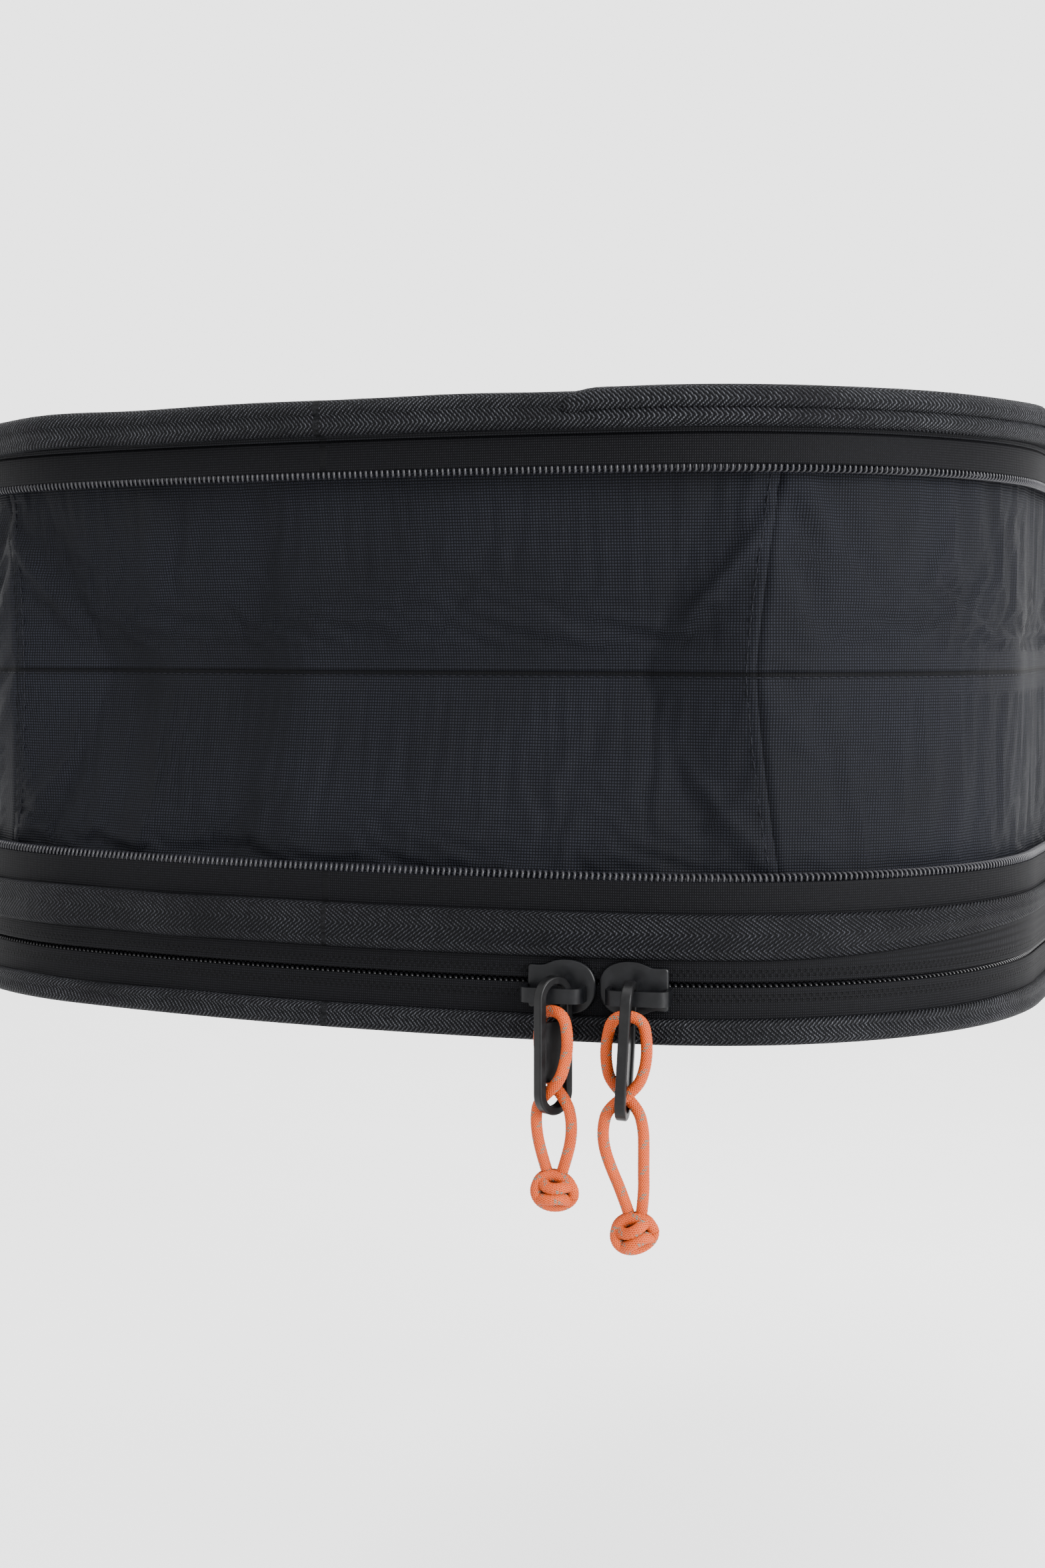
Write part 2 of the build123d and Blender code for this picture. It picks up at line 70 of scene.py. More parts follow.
# ---- the zip line's outline, as the CAD part draws it ----
ARCH_RADIUS = 520.0
ARCH_HALF_LENGTH = 88.0
FRONT_RADIUS = 105.0
REAR_RADIUS = 60.0
tape_low, tape_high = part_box("expansion_upper_tape")
HALF_WIDTH = tape_high.x / MM
FRONT_Y = tape_low.y / MM
REAR_Y = tape_high.y / MM
ARCH_ANGLE = ARCH_HALF_LENGTH / ARCH_RADIUS
ARCH_CENTRE_Y = FRONT_Y + ARCH_RADIUS
FRONT_CENTRE_X = HALF_WIDTH - FRONT_RADIUS
FRONT_CENTRE_Y = ARCH_CENTRE_Y - (ARCH_RADIUS - FRONT_RADIUS) * math.cos(ARCH_ANGLE)
REAR_CENTRE_X = HALF_WIDTH - REAR_RADIUS
REAR_CENTRE_Y = REAR_Y - REAR_RADIUS
FRONT_CORNER_END = ARCH_HALF_LENGTH + FRONT_RADIUS * (math.pi / 2 - ARCH_ANGLE)
SIDE_END = FRONT_CORNER_END + REAR_CENTRE_Y - FRONT_CENTRE_Y
REAR_CORNER_END = SIDE_END + REAR_RADIUS * math.pi / 2
HALF_ROUND = REAR_CORNER_END + REAR_CENTRE_X
FULL_ROUND = 2 * HALF_ROUND

# ---- heights and side distances taken from the frame ----
def heights(node):
    """Lowest and highest height of a CAD node, in millimetres."""
    low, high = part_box(node)
    return low.z / MM, high.z / MM


PACK_TOP = heights("upper_binding")[1]
LOWER_BINDING_TOP = heights("lower_binding")[1]
LOWER_CHAIN_TOP = heights("main_zip_lower_tape")[1]
UPPER_CHAIN_BOTTOM = heights("main_zip_upper_tape")[0]
BAND_BOTTOM, BAND_TOP = heights("wide_band")
LOWER_TAPE_TOP = heights("expansion_lower_tape")[1]
LOWER_COIL_TOP = heights("expansion_lower_coil")[1]
UPPER_COIL_BOTTOM = heights("expansion_upper_coil")[0]
UPPER_TAPE_BOTTOM, UPPER_TAPE_TOP = heights("expansion_upper_tape")
UPPER_BINDING_BOTTOM = heights("upper_binding")[0]
GUSSET_BOTTOM, GUSSET_TOP = heights("gusset_front")
LOWER_PANEL_TOP = heights("lower_lining")[1]
UPPER_PANEL_BOTTOM = heights("upper_lining")[0]
GUSSET_MIDDLE = (GUSSET_BOTTOM + GUSSET_TOP) / 2
GUSSET_HALF = (GUSSET_TOP - GUSSET_BOTTOM) / 2
GUSSET_SIDE = -5.8
PANEL_EDGE = -2.4


def wrap(distance):
    """The same place on the zip line, at most half a round from the front's middle."""
    return (distance + HALF_ROUND) % FULL_ROUND - HALF_ROUND


def outline(distance, side):
    """Plan position, in millimetres, at a distance along the zip line and a side distance."""
    wrapped = wrap(distance)
    run = np.abs(wrapped)
    mirror = np.where(wrapped < 0, -1.0, 1.0)
    ends = (ARCH_HALF_LENGTH, FRONT_CORNER_END, SIDE_END, REAR_CORNER_END)
    stretches = [run < end for end in ends]
    quarter = math.pi / 2
    front_turn = ARCH_ANGLE + (run - ARCH_HALF_LENGTH) / FRONT_RADIUS
    rear_turn = quarter + (run - SIDE_END) / REAR_RADIUS
    angle = np.select(stretches, [run / ARCH_RADIUS, front_turn, quarter, rear_turn], math.pi)
    rear_x = REAR_CENTRE_X - (run - REAR_CORNER_END)
    centre_x = np.select(stretches, [0, FRONT_CENTRE_X, HALF_WIDTH, REAR_CENTRE_X], rear_x)
    side_y = FRONT_CENTRE_Y + run - FRONT_CORNER_END
    centre_y = np.select(
        stretches, [ARCH_CENTRE_Y, FRONT_CENTRE_Y, side_y, REAR_CENTRE_Y], REAR_Y
    )
    radius = np.select(stretches, [ARCH_RADIUS, FRONT_RADIUS, 0, REAR_RADIUS], 0)
    reach = radius + side
    return mirror * (centre_x + reach * np.sin(angle)), centre_y - reach * np.cos(angle)


def place(distance, side, height):
    """Points in metres, as an array of three numbers each."""
    x, y = outline(distance, side)
    return np.stack([x, y, height + 0 * x], axis=-1) * MM


def outward_at(distance):
    """Unit vector out of the pack's side wall."""
    inner, outer = place(np.array([distance, distance]), np.array([0.0, 1.0]), 0)
    return Vector(outer - inner).normalized()


# ---- camera, at the photographed view ----
VIEW_TURN = math.radians(22.1)
CAMERA_PITCH = math.radians(-3.87)
CAMERA_PLACE = (274.3, -773.4, 108.0)
CAMERA_LENS = 50.0


def make_camera():
    """A view of the front's right half from just above half height."""
    data = bpy.data.cameras.new("camera")
    data.lens = CAMERA_LENS
    camera = bpy.data.objects.new("camera", data)
    camera.location = Vector(CAMERA_PLACE) * MM
    camera.rotation_euler = (math.pi / 2 + CAMERA_PITCH, 0, VIEW_TURN)
    bpy.context.scene.collection.objects.link(camera)
    bpy.context.scene.camera = camera


make_camera()


# ---- mesh helpers ----
def make_object(name, points, faces, uvs=None):
    """A smooth mesh object from points in metres. uvs holds one pair for each point."""
    mesh = bpy.data.meshes.new(name)
    mesh.from_pydata(points.reshape(-1, 3).tolist(), [], faces)
    mesh.polygons.foreach_set("use_smooth", [True] * len(mesh.polygons))
    if uvs is not None:
        layer = mesh.uv_layers.new(name="cloth")
        corners = np.zeros(len(mesh.loops), int)
        mesh.loops.foreach_get("vertex_index", corners)
        layer.data.foreach_set("uv", uvs.reshape(-1, 2)[corners].astype(np.float32).ravel())
    piece = bpy.data.objects.new(name, mesh)
    bpy.context.scene.collection.objects.link(piece)
    return piece


def grid_faces(rows, columns, rows_close=False, columns_close=False):
    """Quads of a grid of points numbered row by row."""
    faces = []
    for row in range(rows if rows_close else rows - 1):
        below = row * columns
        above = ((row + 1) % rows) * columns
        for column in range(columns if columns_close else columns - 1):
            right = (column + 1) % columns
            faces.append((below + column, above + column, above + right, below + right))
    return faces


def tube_faces(rows, columns, closed=False, base=0):
    """Faces of a tube of rings numbered from base, with ends unless it closes on itself."""
    faces = grid_faces(rows, columns, closed, True)
    if not closed:
        faces.append(tuple(reversed(range(columns))))
        faces.append(tuple(range((rows - 1) * columns, rows * columns)))
    return [tuple(base + i for i in face) for face in faces]


def rings_round(line, across, other, radius, count):
    """Rings of points round a line. radius is in metres, one number or one for each point."""
    turn = np.arange(count) / count * 2 * math.pi
    rim = across[:, None] * np.cos(turn)[:, None] + other[:, None] * np.sin(turn)[:, None]
    return line[:, None] + rim * np.reshape(radius, (-1, 1, 1))


def unit(vectors):
    """The same vectors, each of length 1."""
    return vectors / np.linalg.norm(vectors, axis=1, keepdims=True)


def run_along(points):
    """Length of the line through the points, up to each of them."""
    return np.r_[0, np.cumsum(np.linalg.norm(np.diff(points, axis=0), axis=1))]


def wobble(distance, seed, wavelength):
    """A smooth uneven wave between about -1 and 1 that closes on itself round the pack."""
    total = 0 * distance
    turns = max(1, round(FULL_ROUND / wavelength))
    for part in range(4):
        cycles = turns + (part * 7 + seed * 3) % 5 * max(1, turns // 6)
        phase = seed * 1.7 + part * 2.3
        total = total + np.sin(2 * math.pi * cycles * distance / FULL_ROUND + phase)
    return total / 2.6


def smooth_step(value, low, high):
    """0 below low and 1 above high, with a soft rise between them."""
    share = np.clip((value - low) / (high - low), 0, 1)
    return share * share * (3 - 2 * share)


def rounded(corners, count):
    """A closed profile through soft corners, as count evenly spread points."""
    points = np.array(corners, float)
    for _ in range(3):
        ahead = np.roll(points, -1, axis=0)
        points = np.stack([points * 0.75 + ahead * 0.25, points * 0.25 + ahead * 0.75], 1)
        points = points.reshape(-1, 2)
    closed = np.vstack([points, points[:1]])
    lengths = run_along(closed)
    wanted = np.linspace(0, lengths[-1], count, endpoint=False)
    return np.stack([np.interp(wanted, lengths, closed[:, i]) for i in (0, 1)], 1)


def finish_piece(piece, body, slot, material, *nodes):
    """Put a piece on its body, give it its material and hide the CAD nodes it stands for."""
    if material.name not in [m.name for m in piece.data.materials if m]:
        piece.data.materials.append(material)
    if body:
        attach(piece, body)
    if nodes:
        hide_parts(*nodes)
    return piece


def round_spots(start, end, step):
    """Distances along the zip line from start to end, or all round if they are None."""
    if start is None:
        count = round(FULL_ROUND / step)
        return np.arange(count) * FULL_ROUND / count, True
    count = max(4, round((end - start) / step))
    return np.linspace(start, end, count), False


def make_ring(name, profile, start=None, end=None, step=2.0, shape=None):
    """A closed profile of (side, height) points swept along the zip line.

    shape(distance, side, height) may move the points; it returns new sides and heights.
    """
    spots, closed = round_spots(start, end, step)
    profile = np.asarray(profile, float)
    count = len(profile)
    distance = np.repeat(spots[:, None], count, axis=1)
    side = np.repeat(profile[None, :, 0], len(spots), axis=0)
    height = np.repeat(profile[None, :, 1], len(spots), axis=0)
    if shape:
        side, height = shape(distance, side, height)
    points = place(distance, side, height)
    along = run_along(profile)
    uvs = np.stack([distance, np.repeat(along[None, :], len(spots), axis=0)], -1) * MM
    faces = grid_faces(len(spots), count, closed, True)
    if not closed:
        faces.append(tuple(range(count)))
        faces.append(tuple(reversed(range(len(spots) * count - count, len(spots) * count))))
    return make_object(name, points, faces, uvs)


# ---- node materials ----
class Shader:
    """A small builder for one material's nodes."""

    def __init__(self, name, roughness, **sockets):
        self.material = bpy.data.materials.new(name)
        self.material.use_nodes = True
        self.tree = self.material.node_tree
        self.surface = self.tree.nodes["Principled BSDF"]
        self.surface.inputs["Roughness"].default_value = roughness
        self.surface.inputs["Specular IOR Level"].default_value = 0.045
        for socket, value in sockets.items():
            self.surface.inputs[socket.replace("_", " ")].default_value = value

    def node(self, kind, **values):
        made = self.tree.nodes.new("ShaderNode" + kind)
        for name, value in values.items():
            setattr(made, name, value)
        return made

    def link(self, source, target):
        self.tree.links.new(source, target)

    def math(self, operation, *values):
        """One math node. A value is a number or another node's output."""
        made = self.node("Math", operation=operation)
        for index, value in enumerate(values):
            if isinstance(value, (int, float)):
                made.inputs[index].default_value = value
            else:
                self.link(value, made.inputs[index])
        return made.outputs[0]

    def times(self, first, second):
        return self.math("MULTIPLY", first, second)

    def away(self, value, place):
        """How far a value is from a place."""
        return self.math("ABSOLUTE", self.math("SUBTRACT", value, place))

    def cloth(self):
        """The piece's length and width along the cloth, in millimetres."""
        source = self.node("UVMap", uv_map="cloth")
        split = self.node("SeparateXYZ")
        self.link(source.outputs["UV"], split.inputs[0])
        return [self.times(split.outputs[i], 1000.0) for i in (0, 1)]

    def noise(self, size, detail=2.0, roughness=0.5):
        """Noise in object space, where size is its feature size in millimetres."""
        where = self.node("TexCoord").outputs["Object"]
        made = self.node("TexNoise")
        made.inputs["Scale"].default_value = 1000.0 / size
        made.inputs["Detail"].default_value = detail
        made.inputs["Roughness"].default_value = roughness
        self.link(where, made.inputs["Vector"])
        return made.outputs["Fac"]

    def wave(self, value, pitch):
        """0 to 1 and back once every pitch."""
        turn = self.times(value, 2 * math.pi / pitch)
        return self.math("MULTIPLY_ADD", self.math("SINE", turn), 0.5, 0.5)

    def mix(self, share, low, high):
        """A colour between two, each a tuple or another output."""
        made = self.node("Mix", data_type="RGBA")
        for index, value in ((0, share), (6, low), (7, high)):
            if isinstance(value, tuple):
                made.inputs[index].default_value = (*value, 1)
            else:
                self.link(value, made.inputs[index])
        return made.outputs[2]

    def spread(self, value, low, high, to_low=0.0, to_high=1.0):
        made = self.node("MapRange")
        for index, number in ((1, low), (2, high), (3, to_low), (4, to_high)):
            made.inputs[index].default_value = number
        self.link(value, made.inputs[0])
        return made.outputs[0]

    def finish(self, colour=None, height=None, depth=0.1, strength=1.0, roughness=None):
        """Wire up colour, bump (depth in millimetres) and roughness."""
        if colour is not None:
            self.link(colour, self.surface.inputs["Base Color"])
        if roughness is not None:
            self.link(roughness, self.surface.inputs["Roughness"])
        if height is not None:
            bump = self.node("Bump")
            bump.inputs["Strength"].default_value = strength
            bump.inputs["Distance"].default_value = depth * MM
            self.link(height, bump.inputs["Height"])
            self.link(bump.outputs["Normal"], self.surface.inputs["Normal"])
        return self.material


def woven_cloth(name, dark, light, pitch, roughness=0.62, depth=0.12, seam=None):
    """Plain oxford weave: a chequer of small rounded yarn crossings, their tops painted lighter
    as a painted highlight over random tone.

    seam is where a seam's groove runs along the cloth, in millimetres across it; there the cloth
    is painted near-black as painted shade in the groove, and its bump dips.
    """
    shader = Shader(name, roughness)
    along, across = shader.cloth()
    drift = shader.noise(9.0)
    along = shader.math("ADD", along, shader.times(drift, 0.25 * pitch))
    yarns = shader.times(
        shader.math("SINE", shader.times(along, math.pi / pitch)),
        shader.math("SINE", shader.times(across, math.pi / pitch)),
    )
    crossing = shader.math("ABSOLUTE", yarns)
    patch = shader.noise(38.0, 3.0, 0.6)
    fibre = shader.noise(0.5, 2.0, 0.7)
    # Painted highlight: the yarn crossings' tops are painted lighter than the hollows, mixed with
    # random tone from the patch and fibre noise.
    tone_and_yarn_highlight = shader.times(crossing, shader.spread(patch, 0.3, 0.7, 0.55, 1.0))
    tone_and_yarn_highlight = shader.times(tone_and_yarn_highlight, shader.spread(fibre, 0.2, 0.8, 0.6, 1.2))
    colour = shader.mix(tone_and_yarn_highlight, dark, light)
    height = shader.math("ADD", crossing, shader.times(fibre, 0.35))
    if seam is not None:
        # Painted shade: the cloth is darkened to near-black along the seam, standing in for the
        # shadow in its groove.
        seam_shade = shader.spread(shader.away(across, seam), 0.15, 1.1, 1.0, 0.0)
        colour = shader.mix(shader.times(seam_shade, 0.8), colour, (0.0002, 0.0002, 0.0003))
        height = shader.math("SUBTRACT", height, shader.times(seam_shade, 5.0))
    rough = shader.spread(patch, 0.25, 0.75, roughness - 0.07, roughness + 0.1)
    return shader.finish(colour, height, depth, 0.9, rough)


def herringbone(name, dark, light, pitch, row, slope=1.0):
    """Herringbone webbing: ribs that turn back every row, broken into short floats whose tops are
    painted lighter, a painted highlight.
    """
    shader = Shader(name, 0.6)
    along, across = shader.cloth()
    folded = shader.math("PINGPONG", across, row)
    slanted = shader.math("MULTIPLY_ADD", folded, slope, along)
    rib = shader.wave(slanted, pitch)
    float_run = shader.wave(shader.math("MULTIPLY_ADD", across, -0.35, along), pitch * 0.5)
    yarn = shader.times(rib, shader.math("MULTIPLY_ADD", float_run, 0.5, 0.5))
    fuzz = shader.noise(0.7, 3.0, 0.7)
    patch = shader.noise(24.0, 2.0)
    # Painted highlight on the raised rib tops, mixed with random tone from the fuzz and patch
    # noise.
    rib_highlight_and_tone = shader.math("POWER", yarn, 2.2)
    rib_highlight_and_tone = shader.times(rib_highlight_and_tone, shader.spread(fuzz, 0.35, 0.7, 0.15, 1.25))
    rib_highlight_and_tone = shader.times(rib_highlight_and_tone, shader.spread(patch, 0.3, 0.7, 0.45, 1.0))
    height = shader.math("ADD", yarn, shader.times(fuzz, 0.5))
    return shader.finish(shader.mix(rib_highlight_and_tone, dark, light), height, 0.3)


def zip_tape_cloth(name, dark, light, rows):
    """Knitted zip tape, with pairs of dark stitch dashes in rows along it."""
    shader = Shader(name, 0.62)
    along, across = shader.cloth()
    knit = shader.times(shader.wave(along, 0.62), shader.wave(across, 0.7))
    fuzz = shader.noise(0.8, 2.0, 0.6)
    # Painted highlight: the knit's raised tops are painted lighter, mixed with random fuzz tone.
    colour = shader.mix(shader.times(knit, fuzz), dark, light)
    height = shader.math("ADD", knit, shader.times(fuzz, 0.4))
    for row, shift in rows:
        slanted = shader.math("ADD", along, shift)
        dash = shader.spread(shader.wave(slanted, 1.75), 0.45, 0.7)
        line = shader.spread(shader.away(across, row), 0.2, 0.42, 1.0, 0.0)
        stitch = shader.times(dash, line)
        colour = shader.mix(shader.times(stitch, 0.85), colour, (0.001, 0.001, 0.0012))
        height = shader.math("SUBTRACT", height, shader.times(stitch, 1.8))
    return shader.finish(colour, height, 0.12)


def nylon(name, colour, roughness=0.34):
    shader = Shader(name, roughness, Specular_IOR_Level=0.25)
    haze = shader.noise(1.2, 2.0)
    tint = shader.mix(haze, colour, tuple(c * 1.8 for c in colour))
    return shader.finish(tint, shader.noise(0.4), 0.02, 0.5)


def thread(name, colour):
    shader = Shader(name, 0.5)
    twist = shader.noise(0.25, 1.0)
    tint = shader.mix(twist, tuple(c * 0.6 for c in colour), tuple(c * 1.3 for c in colour))
    return shader.finish(tint, twist, 0.05, 0.8)


def satin_paint(name, colour, roughness):
    """Satin black paint on zinc, with fine orange peel and slightly polished patches."""
    shader = Shader(name, roughness, Specular_IOR_Level=0.12)
    peel = shader.noise(0.35, 2.0)
    wear = shader.noise(4.0, 4.0, 0.65)
    tint = shader.mix(
        shader.spread(wear, 0.45, 0.8), colour, tuple(c * 1.9 + 0.001 for c in colour)
    )
    rough = shader.spread(wear, 0.3, 0.75, roughness - 0.06, roughness + 0.12)
    return shader.finish(tint, peel, 0.012, 0.6, rough)


def braided(name):
    """Braided cord sheath. The mesh marks the grey reflective flecks, strand by strand."""
    shader = Shader(name, 0.55, Specular_IOR_Level=0.25)
    fleck = shader.node("Attribute", attribute_name="fleck").outputs["Fac"]
    fibre = shader.noise(0.22, 2.0, 0.7)
    patch = shader.noise(6.0, 2.0)
    orange = shader.mix(fibre, (0.17, 0.017, 0.0002), (0.36, 0.046, 0.0006))
    orange = shader.mix(shader.spread(patch, 0.3, 0.7, 0.0, 0.35), orange, (0.4, 0.056, 0.001))
    colour = shader.mix(fleck, orange, (0.08, 0.078, 0.058))
    return shader.finish(colour, fibre, 0.05, 0.7)


def foam(name):
    shader = Shader(name, 0.85)
    cells = shader.node("TexVoronoi")
    cells.inputs["Scale"].default_value = 1400
    shader.link(shader.node("TexCoord").outputs["Object"], cells.inputs["Vector"])
    tint = shader.mix(cells.outputs["Distance"], (0.06, 0.06, 0.065), (0.2, 0.2, 0.21))
    return shader.finish(tint, cells.outputs["Distance"], 0.2, 0.8)


GUSSET_CLOTH = woven_cloth(
    "gusset_cloth", (0.0005, 0.00055, 0.0008), (0.0095, 0.0103, 0.0145), 0.8, depth=0.16,
    seam=GUSSET_MIDDLE,
)
SHELL_CLOTH = woven_cloth(
    "shell_cloth", (0.001, 0.001, 0.0013), (0.0075, 0.0078, 0.0093), 0.8, depth=0.18
)
LINING_CLOTH = woven_cloth("lining_cloth", (0.02, 0.021, 0.023), (0.05, 0.052, 0.057), 0.5, 0.7)
BINDING_WEB = herringbone(
    "binding_web", (0.0006, 0.0006, 0.0009), (0.06, 0.062, 0.07), 1.3, 3.2
)
BAND_WEB = herringbone("band_web", (0.0005, 0.0005, 0.0008), (0.034, 0.035, 0.041), 1.5, 4.2, 1.3)
TAPE_DARK = (0.0006, 0.0006, 0.0009)
TAPE_LIGHT = (0.0075, 0.0077, 0.0095)
PLAIN_TAPE = zip_tape_cloth("plain_tape", TAPE_DARK, TAPE_LIGHT, [])
COIL_NYLON = nylon("coil_nylon", (0.007, 0.007, 0.0085), 0.3)
MAIN_COIL_NYLON = nylon("main_coil_nylon", (0.003, 0.003, 0.0036))
DARK_THREAD = thread("dark_thread", (0.006, 0.0062, 0.008))
SATIN_BLACK = satin_paint("satin_black", (0.0018, 0.0019, 0.0023), 0.34)
PULLER_BLACK = satin_paint("puller_black", (0.0018, 0.0018, 0.002), 0.38)
ORANGE_BRAID = braided("orange_braid")
FOAM = foam("foam_cells")
STIFFENER = nylon("stiffener_plastic", (0.12, 0.12, 0.12), 0.5)


# ---- pull cords ----
LEFT_PLACE = 67.6
RIGHT_PLACE = 87.2
LEFT_TWIST = math.radians(32.0)
RIGHT_LEAN = math.radians(3.0)
LEFT_SLACK = (-0.4, 0.5)
CORD_RADIUS = 1.6
# Routes: (across the puller, up, through the puller), start and end at the knot.
LEFT_ROUTE = [
    (1.6, -47.0, 2.2), (2.4, -42.0, 3.6), (3.0, -37.2, 4.4), (3.2, -32.8, 4.6),
    (3.05, -28.6, 3.7), (3.05, -22.7, -3.9), (1.6, -17.2, -5.0), (0.9, -11.4, -5.2),
    (1.3, -4.4, -4.0), (1.3, -4.4, 4.0), (1.7, -11.4, 5.2), (1.2, -17.2, 5.0),
    (-0.45, -22.7, 3.9), (-0.45, -28.6, -3.7), (-0.8, -32.8, -4.7), (-1.2, -37.2, -4.4),
    (-1.0, -42.0, -3.4), (-0.6, -47.0, -1.7),
]
RIGHT_ROUTE = [
    (1.3, -56.0, -2.9), (1.3, -50.5, -0.6), (1.4, -45.0, 2.2), (1.8, -39.5, 4.4),
    (2.6, -34.0, 4.9), (3.05, -28.6, 3.7), (3.05, -22.7, -3.9), (2.0, -17.2, -5.5),
    (1.4, -11.4, -5.5), (1.3, -4.4, -4.0), (1.3, -4.4, 4.0), (1.2, -11.4, 5.4),
    (0.8, -17.2, 5.3), (-0.45, -22.7, 3.9), (-0.45, -28.6, -3.7), (0.2, -34.0, -5.6),
    (1.0, -39.5, -6.1), (1.3, -45.0, -6.4), (1.3, -50.5, -6.8), (1.3, -56.0, -6.5),
]
CORD_EXIT = (1.3, -31.0, 0.0)


def joint(name):
    return next(j for j in frame["joints"] if j["name"] == name)


def hanging_frame(joint_name, distance, twist, lean, slack):
    """Turns a point given across, up and through a hanging puller into one in metres."""
    pivot = Vector(joint(joint_name)["pos_m"])
    outward = outward_at(distance)
    up = Vector((0, 0, 1))
    along = up.cross(outward)
    across = outward * math.cos(twist) - along * math.sin(twist)
    upright = up * math.cos(lean) + along * math.sin(lean)
    through = across.cross(upright)
    hang = pivot + (across * slack[0] + upright * slack[1]) * MM
    return lambda p: hang + (across * p[0] + upright * p[1] + through * p[2]) * MM


def spline_line(route):
    """Points along the smooth line whose control points are the route."""
    data = bpy.data.curves.new("route", "CURVE")
    data.dimensions = "3D"
    data.resolution_u = 24
    spline = data.splines.new("NURBS")
    spline.points.add(len(route) - 1)
    for point, where in zip(spline.points, route):
        point.co = (*where, 1)
    spline.order_u = 3
    spline.use_endpoint_u = True
    holder = bpy.data.objects.new("route", data)
    mesh = bpy.data.meshes.new_from_object(holder)
    line = np.array([v.co for v in mesh.vertices])
    bpy.data.meshes.remove(mesh)
    bpy.data.objects.remove(holder)
    bpy.data.curves.remove(data)
    return line


def even_line(line, step):
    """The same line with its points evenly spread."""
    lengths = run_along(line)
    wanted = np.linspace(0, lengths[-1], max(3, round(lengths[-1] / step) + 1))
    return np.stack([np.interp(wanted, lengths, line[:, i]) for i in range(3)], 1)


def line_frames(line):
    """Two unit vectors square to the line at each of its points, without twist."""
    heading = np.gradient(line, axis=0)
    heading = unit(heading)
    side = np.zeros_like(line)
    start = np.cross(heading[0], (0.3, 0.8, 0.52))
    side[0] = start / np.linalg.norm(start)
    for i in range(1, len(line)):
        kept = side[i - 1] - heading[i] * (side[i - 1] @ heading[i])
        side[i] = kept / np.linalg.norm(kept)
    return side, np.cross(heading, side)


STRANDS_EACH_WAY = 14
BRAID_LAY = 13.0
STRAND_HALF_WIDTH = 0.27
STRAND_HALF_THICKNESS = 0.15
STRAND_STEP = 0.3
FLECK_EVERY = 4.6
FLECK_SHARE = 0.5
FLECKED_STRANDS = (0, 1, 7, 8)
CORE_RADIUS = CORD_RADIUS - 0.36
CORE_SIDES = 10
CORE_STEP = 0.8


def make_braid(name, line):
    """Braided cord along a line in metres: strands wound both ways, over and under."""
    line = even_line(line, STRAND_STEP * MM)
    side, other = line_frames(line)
    run = np.arange(len(line)) * STRAND_STEP
    weave = np.cos(2 * math.pi * STRANDS_EACH_WAY * run / BRAID_LAY)
    middle = CORD_RADIUS - STRAND_HALF_THICKNESS * 1.8
    points, faces, flecks = [], [], []
    for way in (1, -1):
        for strand in range(STRANDS_EACH_WAY):
            phase = 2 * math.pi * strand / STRANDS_EACH_WAY
            angle = phase + way * 2 * math.pi * run / BRAID_LAY
            out = side * np.cos(angle)[:, None] + other * np.sin(angle)[:, None]
            round_way = -side * np.sin(angle)[:, None] + other * np.cos(angle)[:, None]
            radius = (middle + way * weave * STRAND_HALF_THICKNESS * 0.8)[:, None]
            centre = line + out * radius * MM
            wide = round_way * STRAND_HALF_WIDTH * MM
            thick = out * STRAND_HALF_THICKNESS * MM
            ring = np.stack(
                [
                    centre + wide,
                    centre + wide * 0.5 + thick,
                    centre - wide * 0.5 + thick,
                    centre - wide,
                    centre - thick,
                ],
                axis=1,
            )
            faces += tube_faces(len(line), 5, base=len(points) * len(line) * 5)
            traced = way == 1 and strand in FLECKED_STRANDS
            shift = run / FLECK_EVERY + strand // 5 * 0.5
            shown = ((shift % 1) < FLECK_SHARE) & traced
            flecks.append(np.repeat(shown.astype(np.float32), 5))
            points.append(ring)
    cord = make_object(name, np.array(points), faces)
    marks = cord.data.attributes.new("fleck", "FLOAT", "POINT")
    marks.data.foreach_set("value", np.concatenate(flecks))
    return cord


def make_core(line):
    """Plain round core inside a braid, so that no light passes between the strands."""
    line = even_line(line, CORE_STEP * MM)
    side, other = line_frames(line)
    points = rings_round(line, side, other, CORE_RADIUS * MM, CORE_SIDES)
    return make_object("core", points, tube_faces(len(line), CORE_SIDES))


def join(target, *others):
    """Join meshes into the first."""
    with bpy.context.temp_override(
        active_object=target, object=target, selected_editable_objects=[target, *others]
    ):
        bpy.ops.object.join()
    return target


KNOT_TURN = 2.2 * CORD_RADIUS
# Turns of a knot pulled tight: lean in the view, half width, half depth, and shift along the
# turn's own axis. The first two wrap the stem side by side, the others pass below and behind.
KNOT_TURNS = [
    ("level", 3.9, 4.4, 0.5),
    ("level", 4.1, 4.4, -0.5),
    ("upright", 5.0, 4.0, 0.45),
    ("upright", 4.6, 3.7, -0.5),
]


def knot_lines(centre, lean):
    """The knot's turns and their frames, as closed lines in metres."""
    rightward = np.array((math.cos(VIEW_TURN), math.sin(VIEW_TURN), 0))
    toward = np.array((math.sin(VIEW_TURN), -math.cos(VIEW_TURN), 0))
    upward = np.array((0, 0, 1))
    turn = np.linspace(0, 2 * math.pi, 150)
    wide = rightward * math.cos(lean) + upward * math.sin(lean)
    tall = upward * math.cos(lean) - rightward * math.sin(lean)
    lines = []
    for kind, width, other, shift in KNOT_TURNS:
        square, axis = (toward, tall) if kind == "level" else (tall, toward)
        swell = 0.7 * np.sin(2 * turn + shift)
        line = wide * (width * np.cos(turn))[:, None] + square * (other * np.sin(turn))[:, None]
        line = line + axis * (shift * KNOT_TURN + swell)[:, None]
        lines.append(np.array(centre) + line * MM)
    return lines


